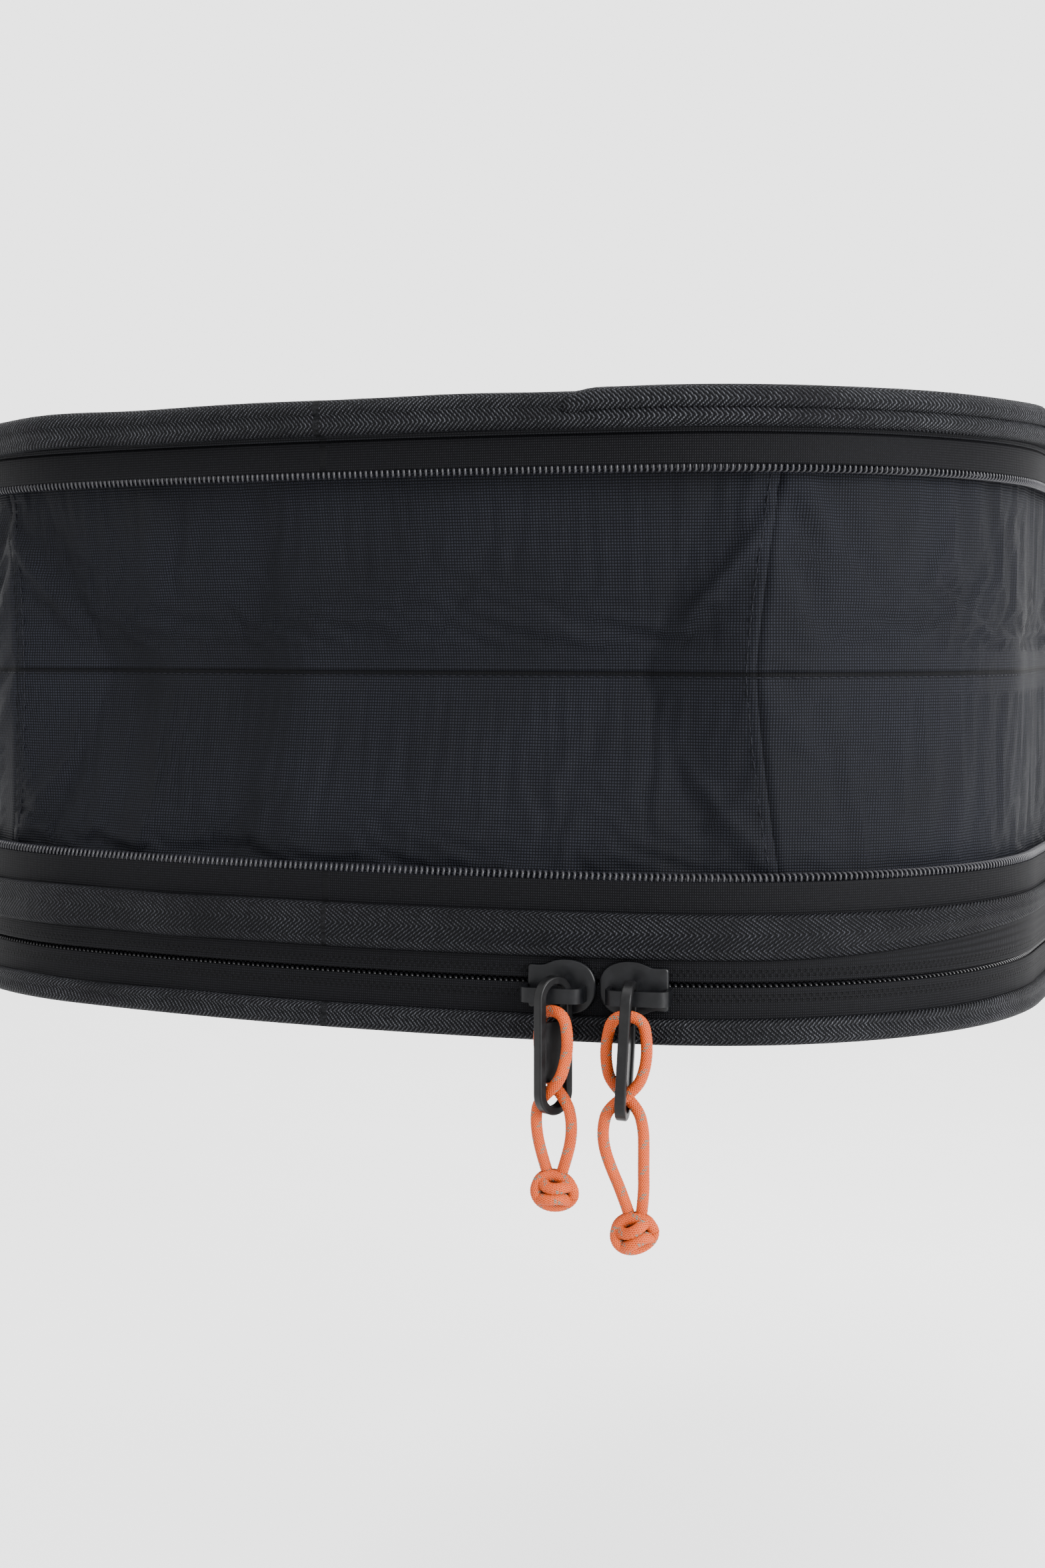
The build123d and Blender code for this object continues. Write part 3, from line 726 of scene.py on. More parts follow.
def make_knot(name, centre, lean, ends):
    """A stopper knot: its turns, and the two cord ends that run into it."""
    lines = knot_lines(centre, lean)
    for end in ends:
        inside = np.array(end) * 0.35 + np.array(centre) * 0.65
        lines.append(np.linspace(np.array(end), inside, 30))
    knot = make_braid(name, lines[0])
    others = [make_braid("turn", line) for line in lines[1:]]
    cores = [make_core(line) for line in lines]
    return join(knot, *others, *cores)


def make_cord(side_name, route, to_world, lean):
    """One pull cord's loop and its knot."""
    line = spline_line([to_world(point) for point in route])
    cord = make_braid("cord_" + side_name + "_braid", line)
    join(cord, make_core(line))
    low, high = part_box("knot_" + side_name)
    ends = (line[0], line[-1])
    knot = make_knot("knot_" + side_name + "_braid", (low + high) / 2, lean, ends)
    for piece, node in ((cord, "cord_"), (knot, "knot_")):
        finish_piece(
            piece, "puller_" + side_name, "orange_cord", ORANGE_BRAID, node + side_name
        )
    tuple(to_world(CORD_EXIT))


left_frame = hanging_frame("puller_left_swing", LEFT_PLACE, LEFT_TWIST, 0, LEFT_SLACK)
right_frame = hanging_frame("puller_right_swing", RIGHT_PLACE, 0, RIGHT_LEAN, (0, 0))
make_cord("left", LEFT_ROUTE, left_frame, math.radians(-14))
make_cord("right", RIGHT_ROUTE, right_frame, math.radians(12))


# ---- bindings, band and tapes ----
def soften_wall(amount, seed):
    """A shape for make_ring: slow waves and small stitched puckers."""

    def shape(distance, side, height):
        pull = wobble(distance, seed, 70) * amount
        pucker = wobble(distance, seed + 3, 7.5) * 0.12 * amount
        lift = wobble(distance, seed + 5, 95) * amount * 0.6
        return side + pull + pucker, height + lift

    return shape


def half_soft(amount, seed, low, high):
    """Like soften_wall, but fixed at one edge: the waves grow from height low to high."""

    def shape(distance, side, height):
        grow = smooth_step(height, low, high)
        pull = wobble(distance, seed, 60) * amount * grow
        lift = wobble(distance, seed + 5, 80) * amount * 0.5 * grow
        return side + pull, height + lift

    return shape


LOWER_BINDING_PROFILE = rounded(
    [
        (-6.0, 0.0), (0.6, 0.0), (2.2, 1.2), (2.3, 3.1), (1.35, 3.7), (1.9, 4.5), (1.9, 6.4),
        (0.6, 7.3), (-2.4, 7.2), (-6.0, 7.0),
    ],
    34,
)
UPPER_BINDING_PROFILE = rounded(
    [
        (-6.0, 172.0), (2.2, 172.3), (4.1, 170.6), (4.2, 168.3), (3.1, 167.3), (3.9, 166.3),
        (4.3, 163.9), (3.0, 162.3), (0.0, 162.2), (-6.0, 163.0),
    ],
    38,
)
BAND_PROFILE = rounded(
    [
        (-0.9, 23.1), (0.9, 22.8), (2.1, 23.6), (1.9, 25.6), (2.35, 29.0), (1.9, 32.4),
        (2.1, 34.3), (0.9, 35.1), (-0.9, 34.9),
    ],
    40,
)


def wall_profile(inner, outer, low, high, count):
    """A thin upright strip with rounded edges."""
    edge = min(0.3, (outer - inner) / 3)
    middle = (low + high) / 2
    front = [(outer, low + edge), (outer, middle), (outer, high - edge), (outer - edge, high)]
    corners = [(inner, low), (outer - edge, low), *front, (inner, high), (inner, middle)]
    return rounded(corners, count)


def add_ring(name, node, body, slot, material, *ring, **options):
    """A ring made by make_ring, finished as the piece that stands for one CAD node."""
    finish_piece(make_ring(name, *ring, **options), body, slot, material, node)


add_ring(
    "lower_binding_web", "lower_binding", "base", "binding_webbing", BINDING_WEB,
    LOWER_BINDING_PROFILE, shape=half_soft(0.35, 2, 0.5, 5.0),
)
add_ring(
    "upper_binding_web", "upper_binding", "top", "binding_webbing", BINDING_WEB,
    UPPER_BINDING_PROFILE, shape=soften_wall(0.45, 1),
)

BAND_LIFT = 5.5


def band_lift(distance):
    """How far the wide band's lower edge creeps up round the right front corner."""
    wrapped = wrap(distance)
    return BAND_LIFT * smooth_step(wrapped, 120, 235) * (1 - smooth_step(wrapped, 330, 540))


def band_shape(distance, side, height):
    low_share = 1 - smooth_step(height, BAND_BOTTOM, BAND_TOP)
    side, height = soften_wall(0.25, 4)(distance, side, height)
    return side, height + band_lift(distance) * low_share


def upper_tape_shape(distance, side, height):
    """The upper half's sewn edge follows the wide band, and its chain stays level."""
    share = smooth_step(height, UPPER_CHAIN_BOTTOM + 3, BAND_BOTTOM)
    return side, height + band_lift(distance) * share


add_ring(
    "wide_band_web", "wide_band", "shell", "binding_webbing", BAND_WEB,
    BAND_PROFILE, step=1.5, shape=band_shape,
)

# The main zip runs round the pack between these two places, clear of the rear hinge.
MOUTH = (104.0 - HALF_ROUND, HALF_ROUND - 104.0)
SEWN = 0.6
LOWER_TAPE_CLOTH, UPPER_TAPE_CLOTH = [
    zip_tape_cloth(name, TAPE_DARK, TAPE_LIGHT, [(row, 0.0), (row + 1.2, 0.9)])
    for name, row in (("main_lower_tape_cloth", 6.1), ("main_upper_tape_cloth", 2.1))
]
add_ring(
    "main_zip_lower_tape_cloth", "main_zip_lower_tape", "base", "zip_tape", LOWER_TAPE_CLOTH,
    wall_profile(-0.8, 0.0, LOWER_BINDING_TOP - SEWN, LOWER_CHAIN_TOP, 40), *MOUTH,
)
add_ring(
    "main_zip_upper_tape_cloth", "main_zip_upper_tape", "shell", "zip_tape", UPPER_TAPE_CLOTH,
    wall_profile(-0.8, 0.0, UPPER_CHAIN_BOTTOM, BAND_BOTTOM + SEWN, 40), *MOUTH,
    shape=upper_tape_shape,
)
add_ring(
    "expansion_lower_tape_cloth", "expansion_lower_tape", "shell", "zip_tape", PLAIN_TAPE,
    wall_profile(-0.8, 0.0, BAND_TOP - SEWN, LOWER_TAPE_TOP, 36),
)
add_ring(
    "expansion_upper_tape_cloth", "expansion_upper_tape", "top", "zip_tape", PLAIN_TAPE,
    wall_profile(-0.8, 0.0, UPPER_TAPE_BOTTOM, UPPER_TAPE_TOP, 36),
)
add_ring(
    "upper_facing_cloth", "upper_side_facing", "top", "shell_fabric", SHELL_CLOTH,
    wall_profile(-1.8, 0.0, UPPER_TAPE_TOP, UPPER_BINDING_BOTTOM + 1.5, 20),
)


# ---- coils ----
COIL_PITCH = 1.6
COIL_POINTS = 12


def make_coil(name, sides, levels, radius, hook, start=None, end=None, offset=0.0):
    """Nylon coil: one long flattened helix.

    hook is 1 if its heads point up and -1 if down; offset is in turns.
    """
    length = FULL_ROUND if start is None else end - start
    first = 0.0 if start is None else start
    turns = round(length / COIL_PITCH)
    count = turns * COIL_POINTS
    share = np.arange(count) / COIL_POINTS + offset
    angle = 2 * math.pi * share
    side_middle, side_half = (sides[0] + sides[1]) / 2, (sides[1] - sides[0]) / 2 - radius
    level_middle, level_half = (levels[0] + levels[1]) / 2, (levels[1] - levels[0]) / 2 - radius
    head = np.cos(angle) * hook
    lean = 0.30 * np.sin(angle * 2) * COIL_PITCH
    distance = first + (share - offset) * length / turns + lean * 0.5
    side = side_middle + side_half * np.sin(angle)
    height = level_middle + level_half * head
    line = place(distance, side, height)
    fat = radius * (1 + 0.45 * np.clip(head, 0, 1) ** 4)
    along = unit(place(distance + 0.5, side, height) - line)
    heading = np.roll(line, -1, axis=0) - np.roll(line, 1, axis=0)
    if start is not None:
        heading[0], heading[-1] = heading[1], heading[-2]
    heading = unit(heading)
    square = unit(np.cross(heading, along))
    points = rings_round(line, square, np.cross(heading, square), fat * MM, 6)
    return make_object(name, points, tube_faces(count, 6, start is None))


OPEN_SIDES = (-3.3, -0.25)
MAIN_SIDES = (-3.3, -0.9)
# Coil, body, material, sides, lowest and highest, thread radius, hook, and where it runs.
for coil, body, material, *shape in (
    ("expansion_lower", "shell", COIL_NYLON,
     OPEN_SIDES, (LOWER_TAPE_TOP - 0.9, LOWER_COIL_TOP), 0.34, 1),
    ("expansion_upper", "top", COIL_NYLON,
     OPEN_SIDES, (UPPER_COIL_BOTTOM, UPPER_TAPE_BOTTOM + 0.9), 0.34, -1),
    ("main_zip_lower", "base", MAIN_COIL_NYLON,
     MAIN_SIDES, (LOWER_CHAIN_TOP - 2.4, LOWER_CHAIN_TOP + 0.75), 0.36, 1, *MOUTH),
    ("main_zip_upper", "shell", MAIN_COIL_NYLON,
     MAIN_SIDES, (UPPER_CHAIN_BOTTOM - 0.75, UPPER_CHAIN_BOTTOM + 2.4), 0.36, -1, *MOUTH, 0.5),
):
    teeth = make_coil(coil + "_teeth", *shape)
    finish_piece(teeth, body, "zip_coil", material, coil + "_coil")


# ---- gusset ----
SEAM_PLACE = 119.4
SEAM_SPREAD = 8.8
FOLD_POINT = 87.0
FOLD_SPREAD = 27.0
REAR_SEAM_PLACE = 156.0
REAR_FOLD_POINT = 124.0
VALLEY_DEPTH = 12.5
RIDGE_HEIGHT = 2.6

# Creases on the front corners: start and end (distance, height), half width, depth.
CREASES = [
    ((100.0, 112.8), (124.3, 139.8), 3.2, 1.5),
    ((95.7, 79.0), (126.2, 44.5), 3.4, 1.3),
    ((126.2, 146.0), (137.5, 130.0), 2.4, -1.7),
    ((130.5, 150.0), (141.0, 137.0), 3.0, 1.0),
    ((127.5, 133.0), (137.5, 119.5), 2.3, -1.5),
    ((125.0, 124.0), (136.0, 106.0), 3.4, 0.9),
    ((120.5, 101.0), (133.0, 93.0), 2.2, -1.2),
    ((121.0, 92.0), (137.0, 78.0), 3.2, 0.8),
    ((118.0, 152.0), (136.0, 156.0), 2.6, 1.1),
]
# Slow upright folds on the front, left of the middle: place, half width, depth.
UPRIGHT_FOLDS = [(-66.0, 9.0, 1.7), (-38.0, 12.0, -1.6), (-14.0, 10.0, 1.1), (34.0, 16.0, 0.8)]


def seam_at(level):
    """Distance of the gusset's upright front seam at a level from -1 to 1."""
    return SEAM_PLACE + SEAM_SPREAD * np.abs(level) ** 1.3


def crease(distance, height, start, end, width, depth):
    """A soft crease along a segment, fading at its ends."""
    start, end = np.array(start), np.array(end)
    length = np.linalg.norm(end - start)
    way = (end - start) / length
    along = (distance - start[0]) * way[0] + (height - start[1]) * way[1]
    off = (distance - start[0]) * way[1] - (height - start[1]) * way[0]
    fade = smooth_step(along, -0.25 * length, 0.3 * length)
    fade = fade * (1 - smooth_step(along, 0.7 * length, 1.25 * length))
    return depth * fade * np.exp(-((off / width) ** 2))


def gusset_side(distance, height):
    """Side distance of the gusset's cloth: folded in at front and rear, out at the sides."""
    level = (height - GUSSET_MIDDLE) / GUSSET_HALF
    opened = 1 - np.sqrt(np.minimum(level**2, 1.0) + 0.0012)
    wrapped = wrap(distance)
    run = np.abs(wrapped)
    fold = FOLD_POINT + FOLD_SPREAD * np.abs(level)
    seam = seam_at(level)
    front = np.clip((run - fold) / np.maximum(seam - fold, 4.0), 0, 1)
    back = HALF_ROUND - run
    rear_fold = REAR_FOLD_POINT + FOLD_SPREAD * np.abs(level)
    rear = np.clip((back - rear_fold) / (REAR_SEAM_PLACE - REAR_FOLD_POINT), 0, 1)
    share = np.minimum(front, rear)
    # Flat along the side walls, clear of the expansion zip's teeth, slider and stop.
    flat = smooth_step(run, 215.0, 280.0) * (1 - smooth_step(run, 545.0, 600.0))
    amount = -VALLEY_DEPTH + (VALLEY_DEPTH + RIDGE_HEIGHT * (1 - flat)) * share - flat * 0.9
    side = GUSSET_SIDE + amount * opened
    edge = np.minimum(height - GUSSET_BOTTOM, GUSSET_TOP - height)
    side = side + 4.6 * (1 - smooth_step(edge, 0.0, 1.6))
    relief = 0 * side
    for start, end, width, depth in CREASES:
        relief = relief + crease(run, height, start, end, width, depth)
    for middle, width, depth in UPRIGHT_FOLDS:
        sway = middle + 6.0 * level + 3.0 * np.sin(level * 3 + middle)
        relief = relief + depth * np.exp(-(((wrapped - sway) / width) ** 2))
    slow = wobble(distance, 6, 55) * np.cos(level * 2.2) + 0.25 * wobble(distance, 9, 23) * level
    fine = wobble(distance + height * 0.7, 11, 11) * wobble(distance - height, 12, 17)
    fullness = smooth_step(edge, 0.0, 14.0)
    return side + (relief + 0.55 * slow + 0.22 * fine) * fullness * (1 - 0.75 * flat)


def make_gusset(name, first, last, columns, rows):
    """Gusset cloth between two upright seams, given as functions of the level."""
    levels = np.linspace(-1, 1, rows)
    shares = np.linspace(0, 1, columns)
    start, end = first(levels), last(levels)
    distance = start[None, :] + shares[:, None] * (end - start)[None, :]
    height = np.repeat((GUSSET_MIDDLE + levels * GUSSET_HALF)[None, :], columns, axis=0)
    points = place(distance, gusset_side(distance, height), height)
    uvs = np.stack([distance, height], -1) * MM
    return make_object(name, points, grid_faces(columns, rows), uvs)


def drop_with_expansion(piece):
    """Give a piece its own copy of its mesh."""
    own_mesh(piece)


SETTLING_FRAMES = 16
SETTLE_LIMIT = 3.0
CLOTH_SLACK = 0.012


def let_cloth_settle(piece, held_at):
    """Simulate the cloth hanging between its sewn edges, and keep the shape it takes.

    held_at gives each point's hold from 0 to 1. No point moves further than the limit, and
    the straight left wall stays as it is, clear of the expansion slider.
    """
    held = piece.vertex_groups.new(name="held")
    spots = np.zeros(len(piece.data.vertices) * 3)
    piece.data.vertices.foreach_get("co", spots)
    for index, hold in enumerate(held_at):
        held.add([index], float(hold), "REPLACE")
    cloth = piece.modifiers.new("settle", "CLOTH")
    settings = cloth.settings
    settings.vertex_group_mass = "held"
    settings.quality = 6
    settings.mass = 0.12
    settings.tension_stiffness = 30
    settings.compression_stiffness = 30
    settings.shear_stiffness = 12
    settings.bending_stiffness = 0.6
    settings.shrink_min = -CLOTH_SLACK
    settings.pin_stiffness = 0.35
    cloth.collision_settings.use_collision = False
    scene = bpy.context.scene
    cloth.point_cache.frame_start = 1
    cloth.point_cache.frame_end = SETTLING_FRAMES
    for number in range(1, SETTLING_FRAMES + 1):
        scene.frame_set(number)
    settled = piece.evaluated_get(bpy.context.evaluated_depsgraph_get())
    after = np.zeros_like(spots)
    settled.data.vertices.foreach_get("co", after)
    piece.modifiers.remove(cloth)
    piece.vertex_groups.remove(held)
    scene.frame_set(1)
    moved = (after - spots).reshape(-1, 3)
    reach = np.linalg.norm(moved, axis=1, keepdims=True)
    moved *= np.minimum(1, SETTLE_LIMIT * MM / np.maximum(reach, 1e-9))
    print(piece.name, "settled by up to", round(float(reach.max()) / MM, 2), "mm")
    moved *= (1 - left_wall_share(spots.reshape(-1, 3)))[:, None]
    piece.data.vertices.foreach_set("co", (spots.reshape(-1, 3) + moved).ravel())
    piece.data.update()


def left_wall_share(spots):
    """1 on the straight left wall and 0 elsewhere, for points in metres."""
    return smooth_step(-spots[:, 0] / MM, HALF_WIDTH - 16, HALF_WIDTH - 9)


def thicken(piece, thickness):
    """Give a sheet its thickness, inward."""
    solid = piece.modifiers.new("thickness", "SOLIDIFY")
    solid.thickness = thickness * MM
    solid.offset = -1


FRONT_COLUMNS, FRONT_ROWS = 150, 74
REAR_COLUMNS, REAR_ROWS = 420, 60


def gusset_hold(columns, rows):
    """Held fully along the seams round its edges and along the taped level seam."""
    across = np.abs(np.linspace(-1, 1, rows))[None, :]
    along = np.abs(np.linspace(-1, 1, columns))[:, None]
    edges = np.maximum(smooth_step(across, 0.93, 0.97), smooth_step(along, 0.975, 0.99))
    middle = 1 - smooth_step(across, 0.09, 0.13)
    return np.maximum(np.maximum(edges, middle), 0.25).ravel()


gusset_front = make_gusset(
    "gusset_front_cloth", lambda v: -seam_at(v), seam_at, FRONT_COLUMNS, FRONT_ROWS
)
gusset_rear = make_gusset(
    "gusset_rear_cloth", seam_at, lambda v: FULL_ROUND - seam_at(v), REAR_COLUMNS, REAR_ROWS
)
let_cloth_settle(gusset_front, gusset_hold(FRONT_COLUMNS, FRONT_ROWS))
let_cloth_settle(gusset_rear, gusset_hold(REAR_COLUMNS, REAR_ROWS))
finish_piece(gusset_front, "shell", "gusset_fabric", GUSSET_CLOTH, "gusset_front")
finish_piece(gusset_rear, "shell", "gusset_fabric", GUSSET_CLOTH, "gusset_rear")

seam_tape = make_ring(
    "gusset_seam_webbing",
    wall_profile(-1.6, -0.9, GUSSET_MIDDLE - 5, GUSSET_MIDDLE + 5, 24),
    shape=lambda distance, side, height: (gusset_side(distance, height) + side, height),
)
finish_piece(seam_tape, "shell", "lining_fabric", LINING_CLOTH, "gusset_seam_tape")
for piece in (gusset_front, gusset_rear, seam_tape):
    drop_with_expansion(piece)
for piece in (gusset_front, gusset_rear):
    thicken(piece, 0.7)


# ---- stitches ----
STITCH_SIDES = 6
# Share of a stitch's length, and its thickness there.
STITCH_PROFILE = np.array([(0.0, 0.0), (0.12, 0.8), (0.5, 1.0), (0.88, 0.8), (1.0, 0.0)])


def add_stitches(name, distance, height, length, gap, radius):
    """Small threads lying on the gusset along a line of (distance, height) points."""
    lengths = run_along(np.stack([distance, height], 1))
    points, faces = [], []
    along, thick = STITCH_PROFILE.T
    lift = radius * (0.5 * np.sin(along * math.pi) + 0.2)
    for number, start in enumerate(np.arange(0, lengths[-1] - length, length + gap)):
        spots = start + along * length
        d = np.interp(spots, lengths, distance)
        h = np.interp(spots, lengths, height)
        side = gusset_side(d, h)
        centre = place(d, side + lift, h)
        outward = unit(place(d, side + 1, h) - place(d, side, h))
        cross = np.cross(unit(np.gradient(centre, axis=0)), outward)
        size = radius * (0.35 + 0.65 * thick) * MM
        points.append(rings_round(centre, outward, cross, size, STITCH_SIDES))
        faces += tube_faces(len(along), STITCH_SIDES, base=number * len(along) * STITCH_SIDES)
    stitches = make_object(name, np.array(points), faces)
    finish_piece(stitches, "shell", "gusset_fabric", DARK_THREAD)
    drop_with_expansion(stitches)


SEAM_STITCH_OFFSET = 2.6
levels = np.linspace(-0.9, 0.9, 60)
for side_name, sign in (("left", -1), ("right", 1)):
    add_stitches(
        "upright_seam_stitches_" + side_name,
        sign * (seam_at(levels) - SEAM_STITCH_OFFSET),
        GUSSET_MIDDLE + levels * GUSSET_HALF,
        2.3,
        0.9,
        0.2,
    )
seam_line = np.linspace(0.0, FULL_ROUND, round(FULL_ROUND / 2))
level_height = GUSSET_MIDDLE - 0.9 + 0 * seam_line
add_stitches("level_seam_stitches", seam_line, level_height, 2.0, 0.7, 0.18)


# ---- panels ----
SPINE_HALF = 120.0


def make_panel(name, edge, level_at, rings=44, step=4.0):
    """A sheet that fills the outline. level_at(share, x, y) gives its height, 0 at the edge."""
    spots, _ = round_spots(None, None, step)
    rim_x, rim_y = outline(spots, edge)
    spine_y = np.clip(rim_y, -SPINE_HALF, SPINE_HALF)
    share = np.linspace(0, 1, rings)[:, None]
    x = rim_x[None] * (1 - share)
    y = rim_y[None] * (1 - share) + spine_y[None] * share
    points = np.stack([x, y, level_at(share + 0 * x, x, y)], -1) * MM
    uvs = np.stack([x, y], -1) * MM
    panel = make_object(name, points, grid_faces(rings, len(spots), False, True), uvs)
    weld = panel.modifiers.new("weld", "WELD")
    weld.merge_threshold = 0.02 * MM
    return panel


def crowned(edge_level, rise, seed):
    """Height of a padded panel: pulled down at its stitched edge, softly full inside."""

    def level_at(depth, x, y):
        full = smooth_step(depth, 0.0, 0.16) * 0.62 + smooth_step(depth, 0.05, 0.9) * 0.38
        waves = np.sin(x / 31 + seed) * np.sin(y / 47 + seed * 2)
        waves = waves + 0.5 * np.sin(x / 13 - y / 19 + seed)
        waves = waves * smooth_step(depth, 0.05, 0.3)
        return edge_level + rise * full + 0.35 * np.sign(rise) * waves

    return level_at


def add_panel(name, node, body, slot, material, level_at):
    """A panel's sheet, finished as the piece that stands for one CAD node."""
    panel = make_panel(name, PANEL_EDGE, level_at)
    return finish_piece(panel, body, slot, material, node)


upper_panel = add_panel(
    "upper_panel_cloth", "upper_panel_skin", "top", "shell_fabric", SHELL_CLOTH,
    crowned(PACK_TOP - 1.2, 6.0, 1),
)
add_panel(
    "upper_lining_cloth", "upper_lining", "top", "lining_fabric", LINING_CLOTH,
    crowned(UPPER_PANEL_BOTTOM, -3.0, 4),
)
lower_panel = add_panel(
    "lower_panel_cloth", "lower_panel_skin", "base", "shell_fabric", SHELL_CLOTH,
    lambda depth, x, y: 0.6 - 0.5 * smooth_step(depth, 0.0, 0.08),
)
add_panel(
    "lower_lining_cloth", "lower_lining", "base", "lining_fabric", LINING_CLOTH,
    crowned(LOWER_PANEL_TOP, 2.6, 7),
)

add_ring(
    "side_lining_cloth", "side_lining", "shell", "lining_fabric", LINING_CLOTH,
    wall_profile(-2.8, -1.9, BAND_BOTTOM, BAND_TOP + 0.4, 24),
    shape=half_soft(0.3, 8, BAND_BOTTOM, BAND_TOP),
)

# ---- second layer where the upper binding's ends overlap ----
OVERLAP_START = 68.5
OVERLAP_END = 228.0


def overlap_shape(distance, side, height):
    ends = smooth_step(distance, OVERLAP_START, OVERLAP_START + 9)
    ends = ends * (1 - smooth_step(distance, OVERLAP_END - 9, OVERLAP_END))
    side, height = soften_wall(0.45, 1)(distance, side, height)
    return side - 0.6 * (1 - ends), height - 1.1 * (1 - ends)


OVERLAP_PROFILE = rounded(
    [
        (-5.0, 171.4), (-5.0, 172.9), (2.6, 173.3), (4.9, 171.2), (5.0, 168.6), (4.4, 166.9),
        (3.0, 167.0), (3.0, 170.0),
    ],
    30,
)
add_ring(
    "binding_overlap_web", "binding_overlap", "top", "binding_webbing", BINDING_WEB,
    OVERLAP_PROFILE, OVERLAP_START, OVERLAP_END, shape=overlap_shape,
)

# ---- rear hinge fabric ----
HINGE_HALF = 103.4
HINGE_BOTTOM = heights("hinge_lower_leaf")[0]
HINGE_TOP = heights("hinge_upper_leaf")[1]
hinge_cloth = make_ring(
    "rear_hinge_cloth",
    wall_profile(0.05, 1.1, HINGE_BOTTOM - 0.4, HINGE_TOP + 0.4, 60),
    HALF_ROUND - HINGE_HALF,
    HALF_ROUND + HINGE_HALF,
)
finish_piece(
    hinge_cloth, None, "shell_fabric", SHELL_CLOTH, "hinge_lower_leaf", "hinge_upper_leaf"
)
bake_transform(hinge_cloth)

# ---- zip sliders ----
EXPANSION_SLIDER_PLACE = -(FRONT_CORNER_END + 150.0 - FRONT_CENTRE_Y)
SLIDER_DROP = 1.4
# Half the front plate's outline from its square end to its round one, as (along, up).
SLIDER_EDGE = [
    (9.2, 0.0), (9.2, 5.0), (9.1, 5.8), (8.2, 5.85), (5.2, 5.7), (3.6, 6.4), (1.2, 7.4),
    (-3.2, 7.55), (-7.4, 5.9), (-9.3, 2.6), (-9.35, 0.0),
]


def slab(edge, low, high, soft):
    """Points and faces of a plate from side distance low to high, its edges rounded."""
    edge = np.array(edge)
    size = np.abs(edge).max(axis=0)
    count = len(edge)
    levels = [
        (0.0, low),
        (0.9, low),
        (1.0 - soft / size.min() * 0.3, low + soft * 0.3),
        (1.0, low + soft),
        (1.0, high - soft),
        (1.0 - soft / size.min() * 0.35, high - soft * 0.3),
        (1.0 - soft / size.min(), high),
        (0.72, high),
        (0.35, high),
        (0.0, high),
    ]
    points = [np.column_stack([edge * share, np.full(count, level)]) for share, level in levels]
    return np.array(points), grid_faces(len(levels), count, False, True)


def make_slider(name, distance, zip_height, narrow_end):
    """Slider body: rounded front and back plates, the post between them and the lower lip.

    narrow_end is -1 or 1 and turns the plates end for end. The hidden post isn't turned.
    """
    half_shape = np.array(SLIDER_EDGE) * (narrow_end, 1.0)
    outline_points = np.vstack([half_shape, (half_shape * (1, -1))[-2:0:-1]])
    front = rounded(outline_points, 90)
    post = rounded([(-7.9, -0.35), (-2.9, -0.35), (-2.9, 0.35), (-7.9, 0.35)], 20)
    lip = rounded([(-6.8, -0.4), (6.8, -0.4), (6.8, 0.4), (-6.8, 0.4)], 24)
    # Outline, side distance of its back and front, edge radius and height above the zip.
    slabs = [
        (front, 0.3, 1.5, 0.5, -SLIDER_DROP),
        (front * 0.87, -5.2, -4.2, 0.3, -SLIDER_DROP),
        (post, -4.4, 0.5, 0.1, 0.0),
        (lip, -4.4, -1.1, 0.2, -3.8),
    ]
    points, faces, total = [], [], 0
    for edge, low, high, soft, rise in slabs:
        made, quads = slab(edge, low, high, soft)
        made = made.reshape(-1, 3)
        points.append(place(distance + made[:, 0], made[:, 2], zip_height + rise + made[:, 1]))
        faces += [tuple(total + i for i in quad) for quad in quads]
        total += len(made)
    slider = make_object(name, np.vstack(points), faces)
    weld = slider.modifiers.new("weld", "WELD")
    weld.merge_threshold = 0.005 * MM
    return slider


MAIN_ZIP = (LOWER_CHAIN_TOP + UPPER_CHAIN_BOTTOM) / 2
EXPANSION_ZIP = LOWER_COIL_TOP + 0.6
for node, distance, zip_height, narrow_end in (
    ("slider_left", LEFT_PLACE, MAIN_ZIP, -1),
    ("slider_right", RIGHT_PLACE, MAIN_ZIP, 1),
    ("expansion_slider", EXPANSION_SLIDER_PLACE, EXPANSION_ZIP, 1),
):
    slider = make_slider(node + "_plates", distance, zip_height, narrow_end)
    finish_piece(slider, node, "slider_metal", SATIN_BLACK, node + "_body")

# ---- CAD nodes that keep their shape ----
def dress(node, material, bevel=0.0):
    """Give a CAD node a material and, where it is hard, softly rounded edges."""
    piece = frame["nodes"][node]
    piece.data.materials.clear()
    piece.data.materials.append(material)
    piece.data.polygons.foreach_set("use_smooth", [True] * len(piece.data.polygons))
    if bevel:
        edges = piece.modifiers.new("edges", "BEVEL")
        edges.width = bevel * MM
        edges.segments = 3
        edges.limit_method = "ANGLE"
        edges.angle_limit = math.radians(35)
        edges.harden_normals = True


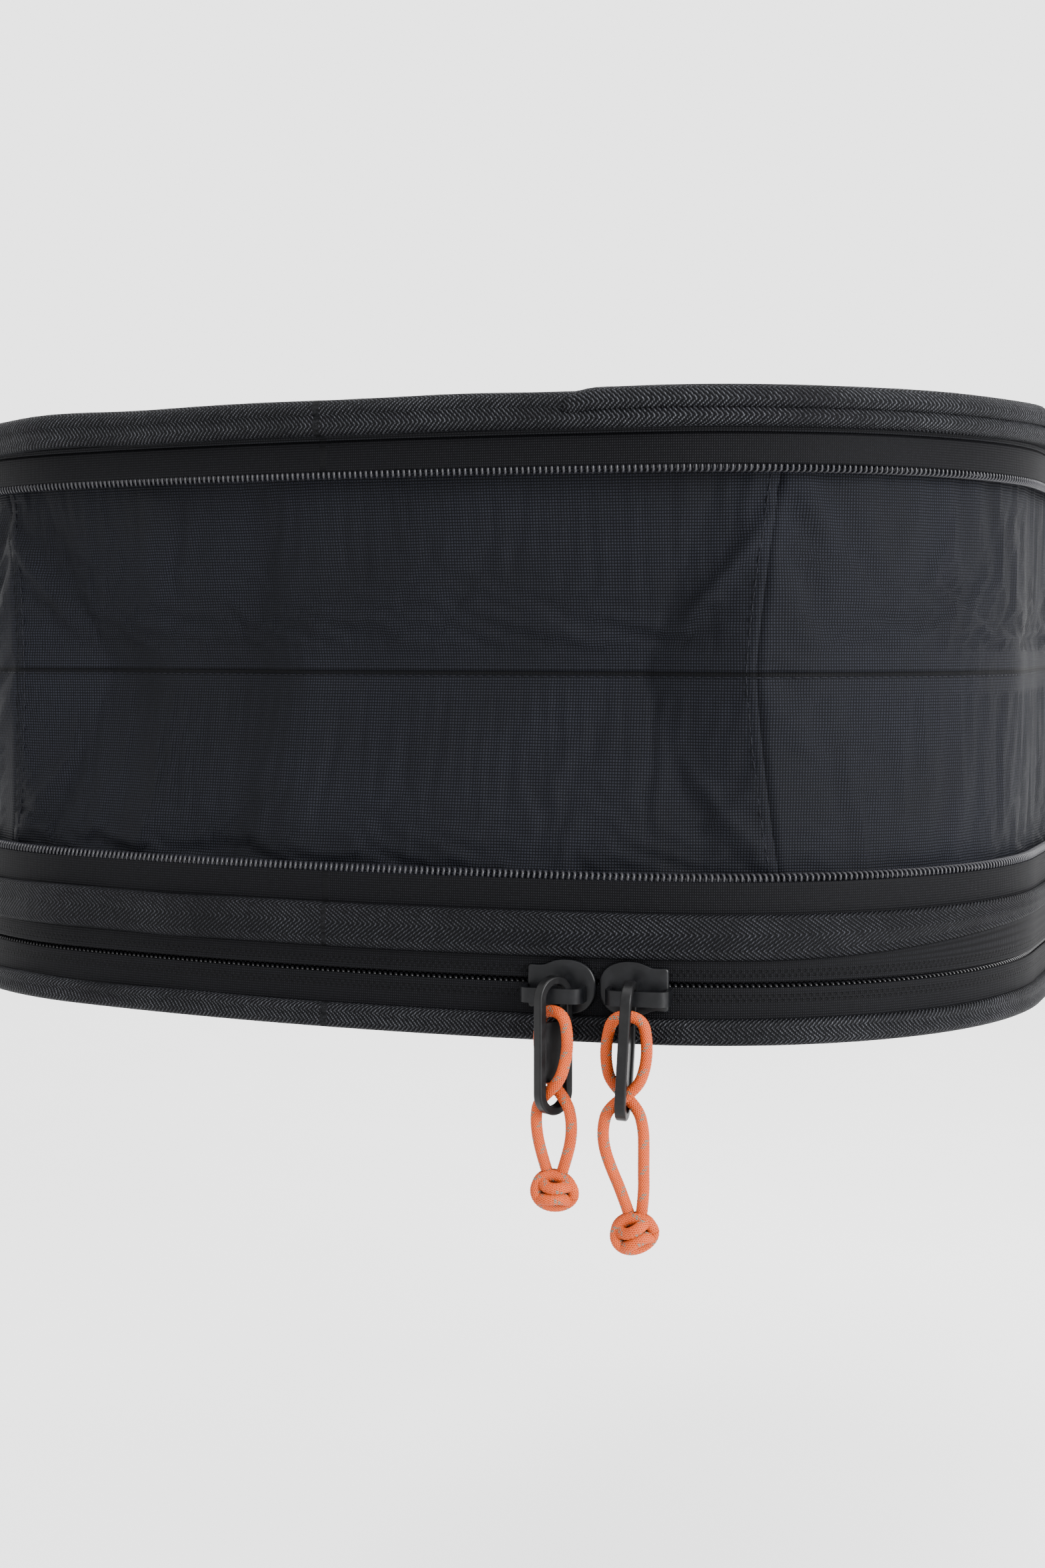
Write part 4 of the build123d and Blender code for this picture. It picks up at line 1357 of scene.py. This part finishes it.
for material, bevel, nodes in (
    (SATIN_BLACK, 0.4, ("slider_left_strap", "slider_right_strap", "expansion_slider_strap")),
    (PULLER_BLACK, 0.2, ("puller_left", "puller_right", "expansion_puller")),
    (FOAM, 0.0, ("lower_panel_foam", "upper_panel_foam")),
    (STIFFENER, 0.0, ("lower_piping_core", "upper_piping_core", "band_stiffener")),
    (COIL_NYLON, 0.3, ("expansion_stop_box", "expansion_stop_pin")),
    (SHELL_CLOTH, 0.3, ("zip_end_tab_left", "zip_end_tab_right")),
):
    for node in nodes:
        dress(node, material, bevel)


# ---- floor and light ----
FLOOR_HEIGHT = -300.0
FLOOR_HALF = 6000.0


def make_stage():
    """Pale floor, far enough down for the pulls to hang free."""
    shader = Shader("pale_floor", 0.7)
    tint = shader.mix(shader.noise(120.0), (0.84, 0.84, 0.84), (0.88, 0.88, 0.88))
    pale = shader.finish(tint, shader.noise(2.0), 0.05, 0.2)
    corners = [(x, y, FLOOR_HEIGHT) for x, y in ((-1, -1), (1, -1), (1, 1), (-1, 1))]
    corners = np.array(corners) * (FLOOR_HALF, FLOOR_HALF, 1) * MM
    floor = make_object("floor", corners, [(0, 1, 2, 3)])
    floor.data.materials.append(pale)


def make_lamp(name, where, target, size, power):
    """A white panel lamp facing its target, in metres and watts."""
    data = bpy.data.lights.new(name, "AREA")
    data.shape = "RECTANGLE"
    data.size, data.size_y = size
    data.energy = power
    lamp = bpy.data.objects.new(name, data)
    lamp.location = where
    lamp.rotation_euler = (Vector(target) - Vector(where)).to_track_quat("-Z", "Y").to_euler()
    bpy.context.scene.collection.objects.link(lamp)


def make_light():
    world = bpy.data.worlds.new("studio")
    bpy.context.scene.world = world
    world.use_nodes = True
    backdrop = world.node_tree.nodes["Background"]
    backdrop.inputs[0].default_value = (1, 1, 1, 1)
    backdrop.inputs[1].default_value = 3.0
    make_lamp("key", (1.5, -0.75, 0.55), (0.1, -0.2, 0.08), (0.6, 1.0), 95)
    make_lamp("overhead", (0.0, -0.5, 1.7), (0.0, -0.1, 0.1), (1.6, 1.0), 30)


make_stage()
make_light()
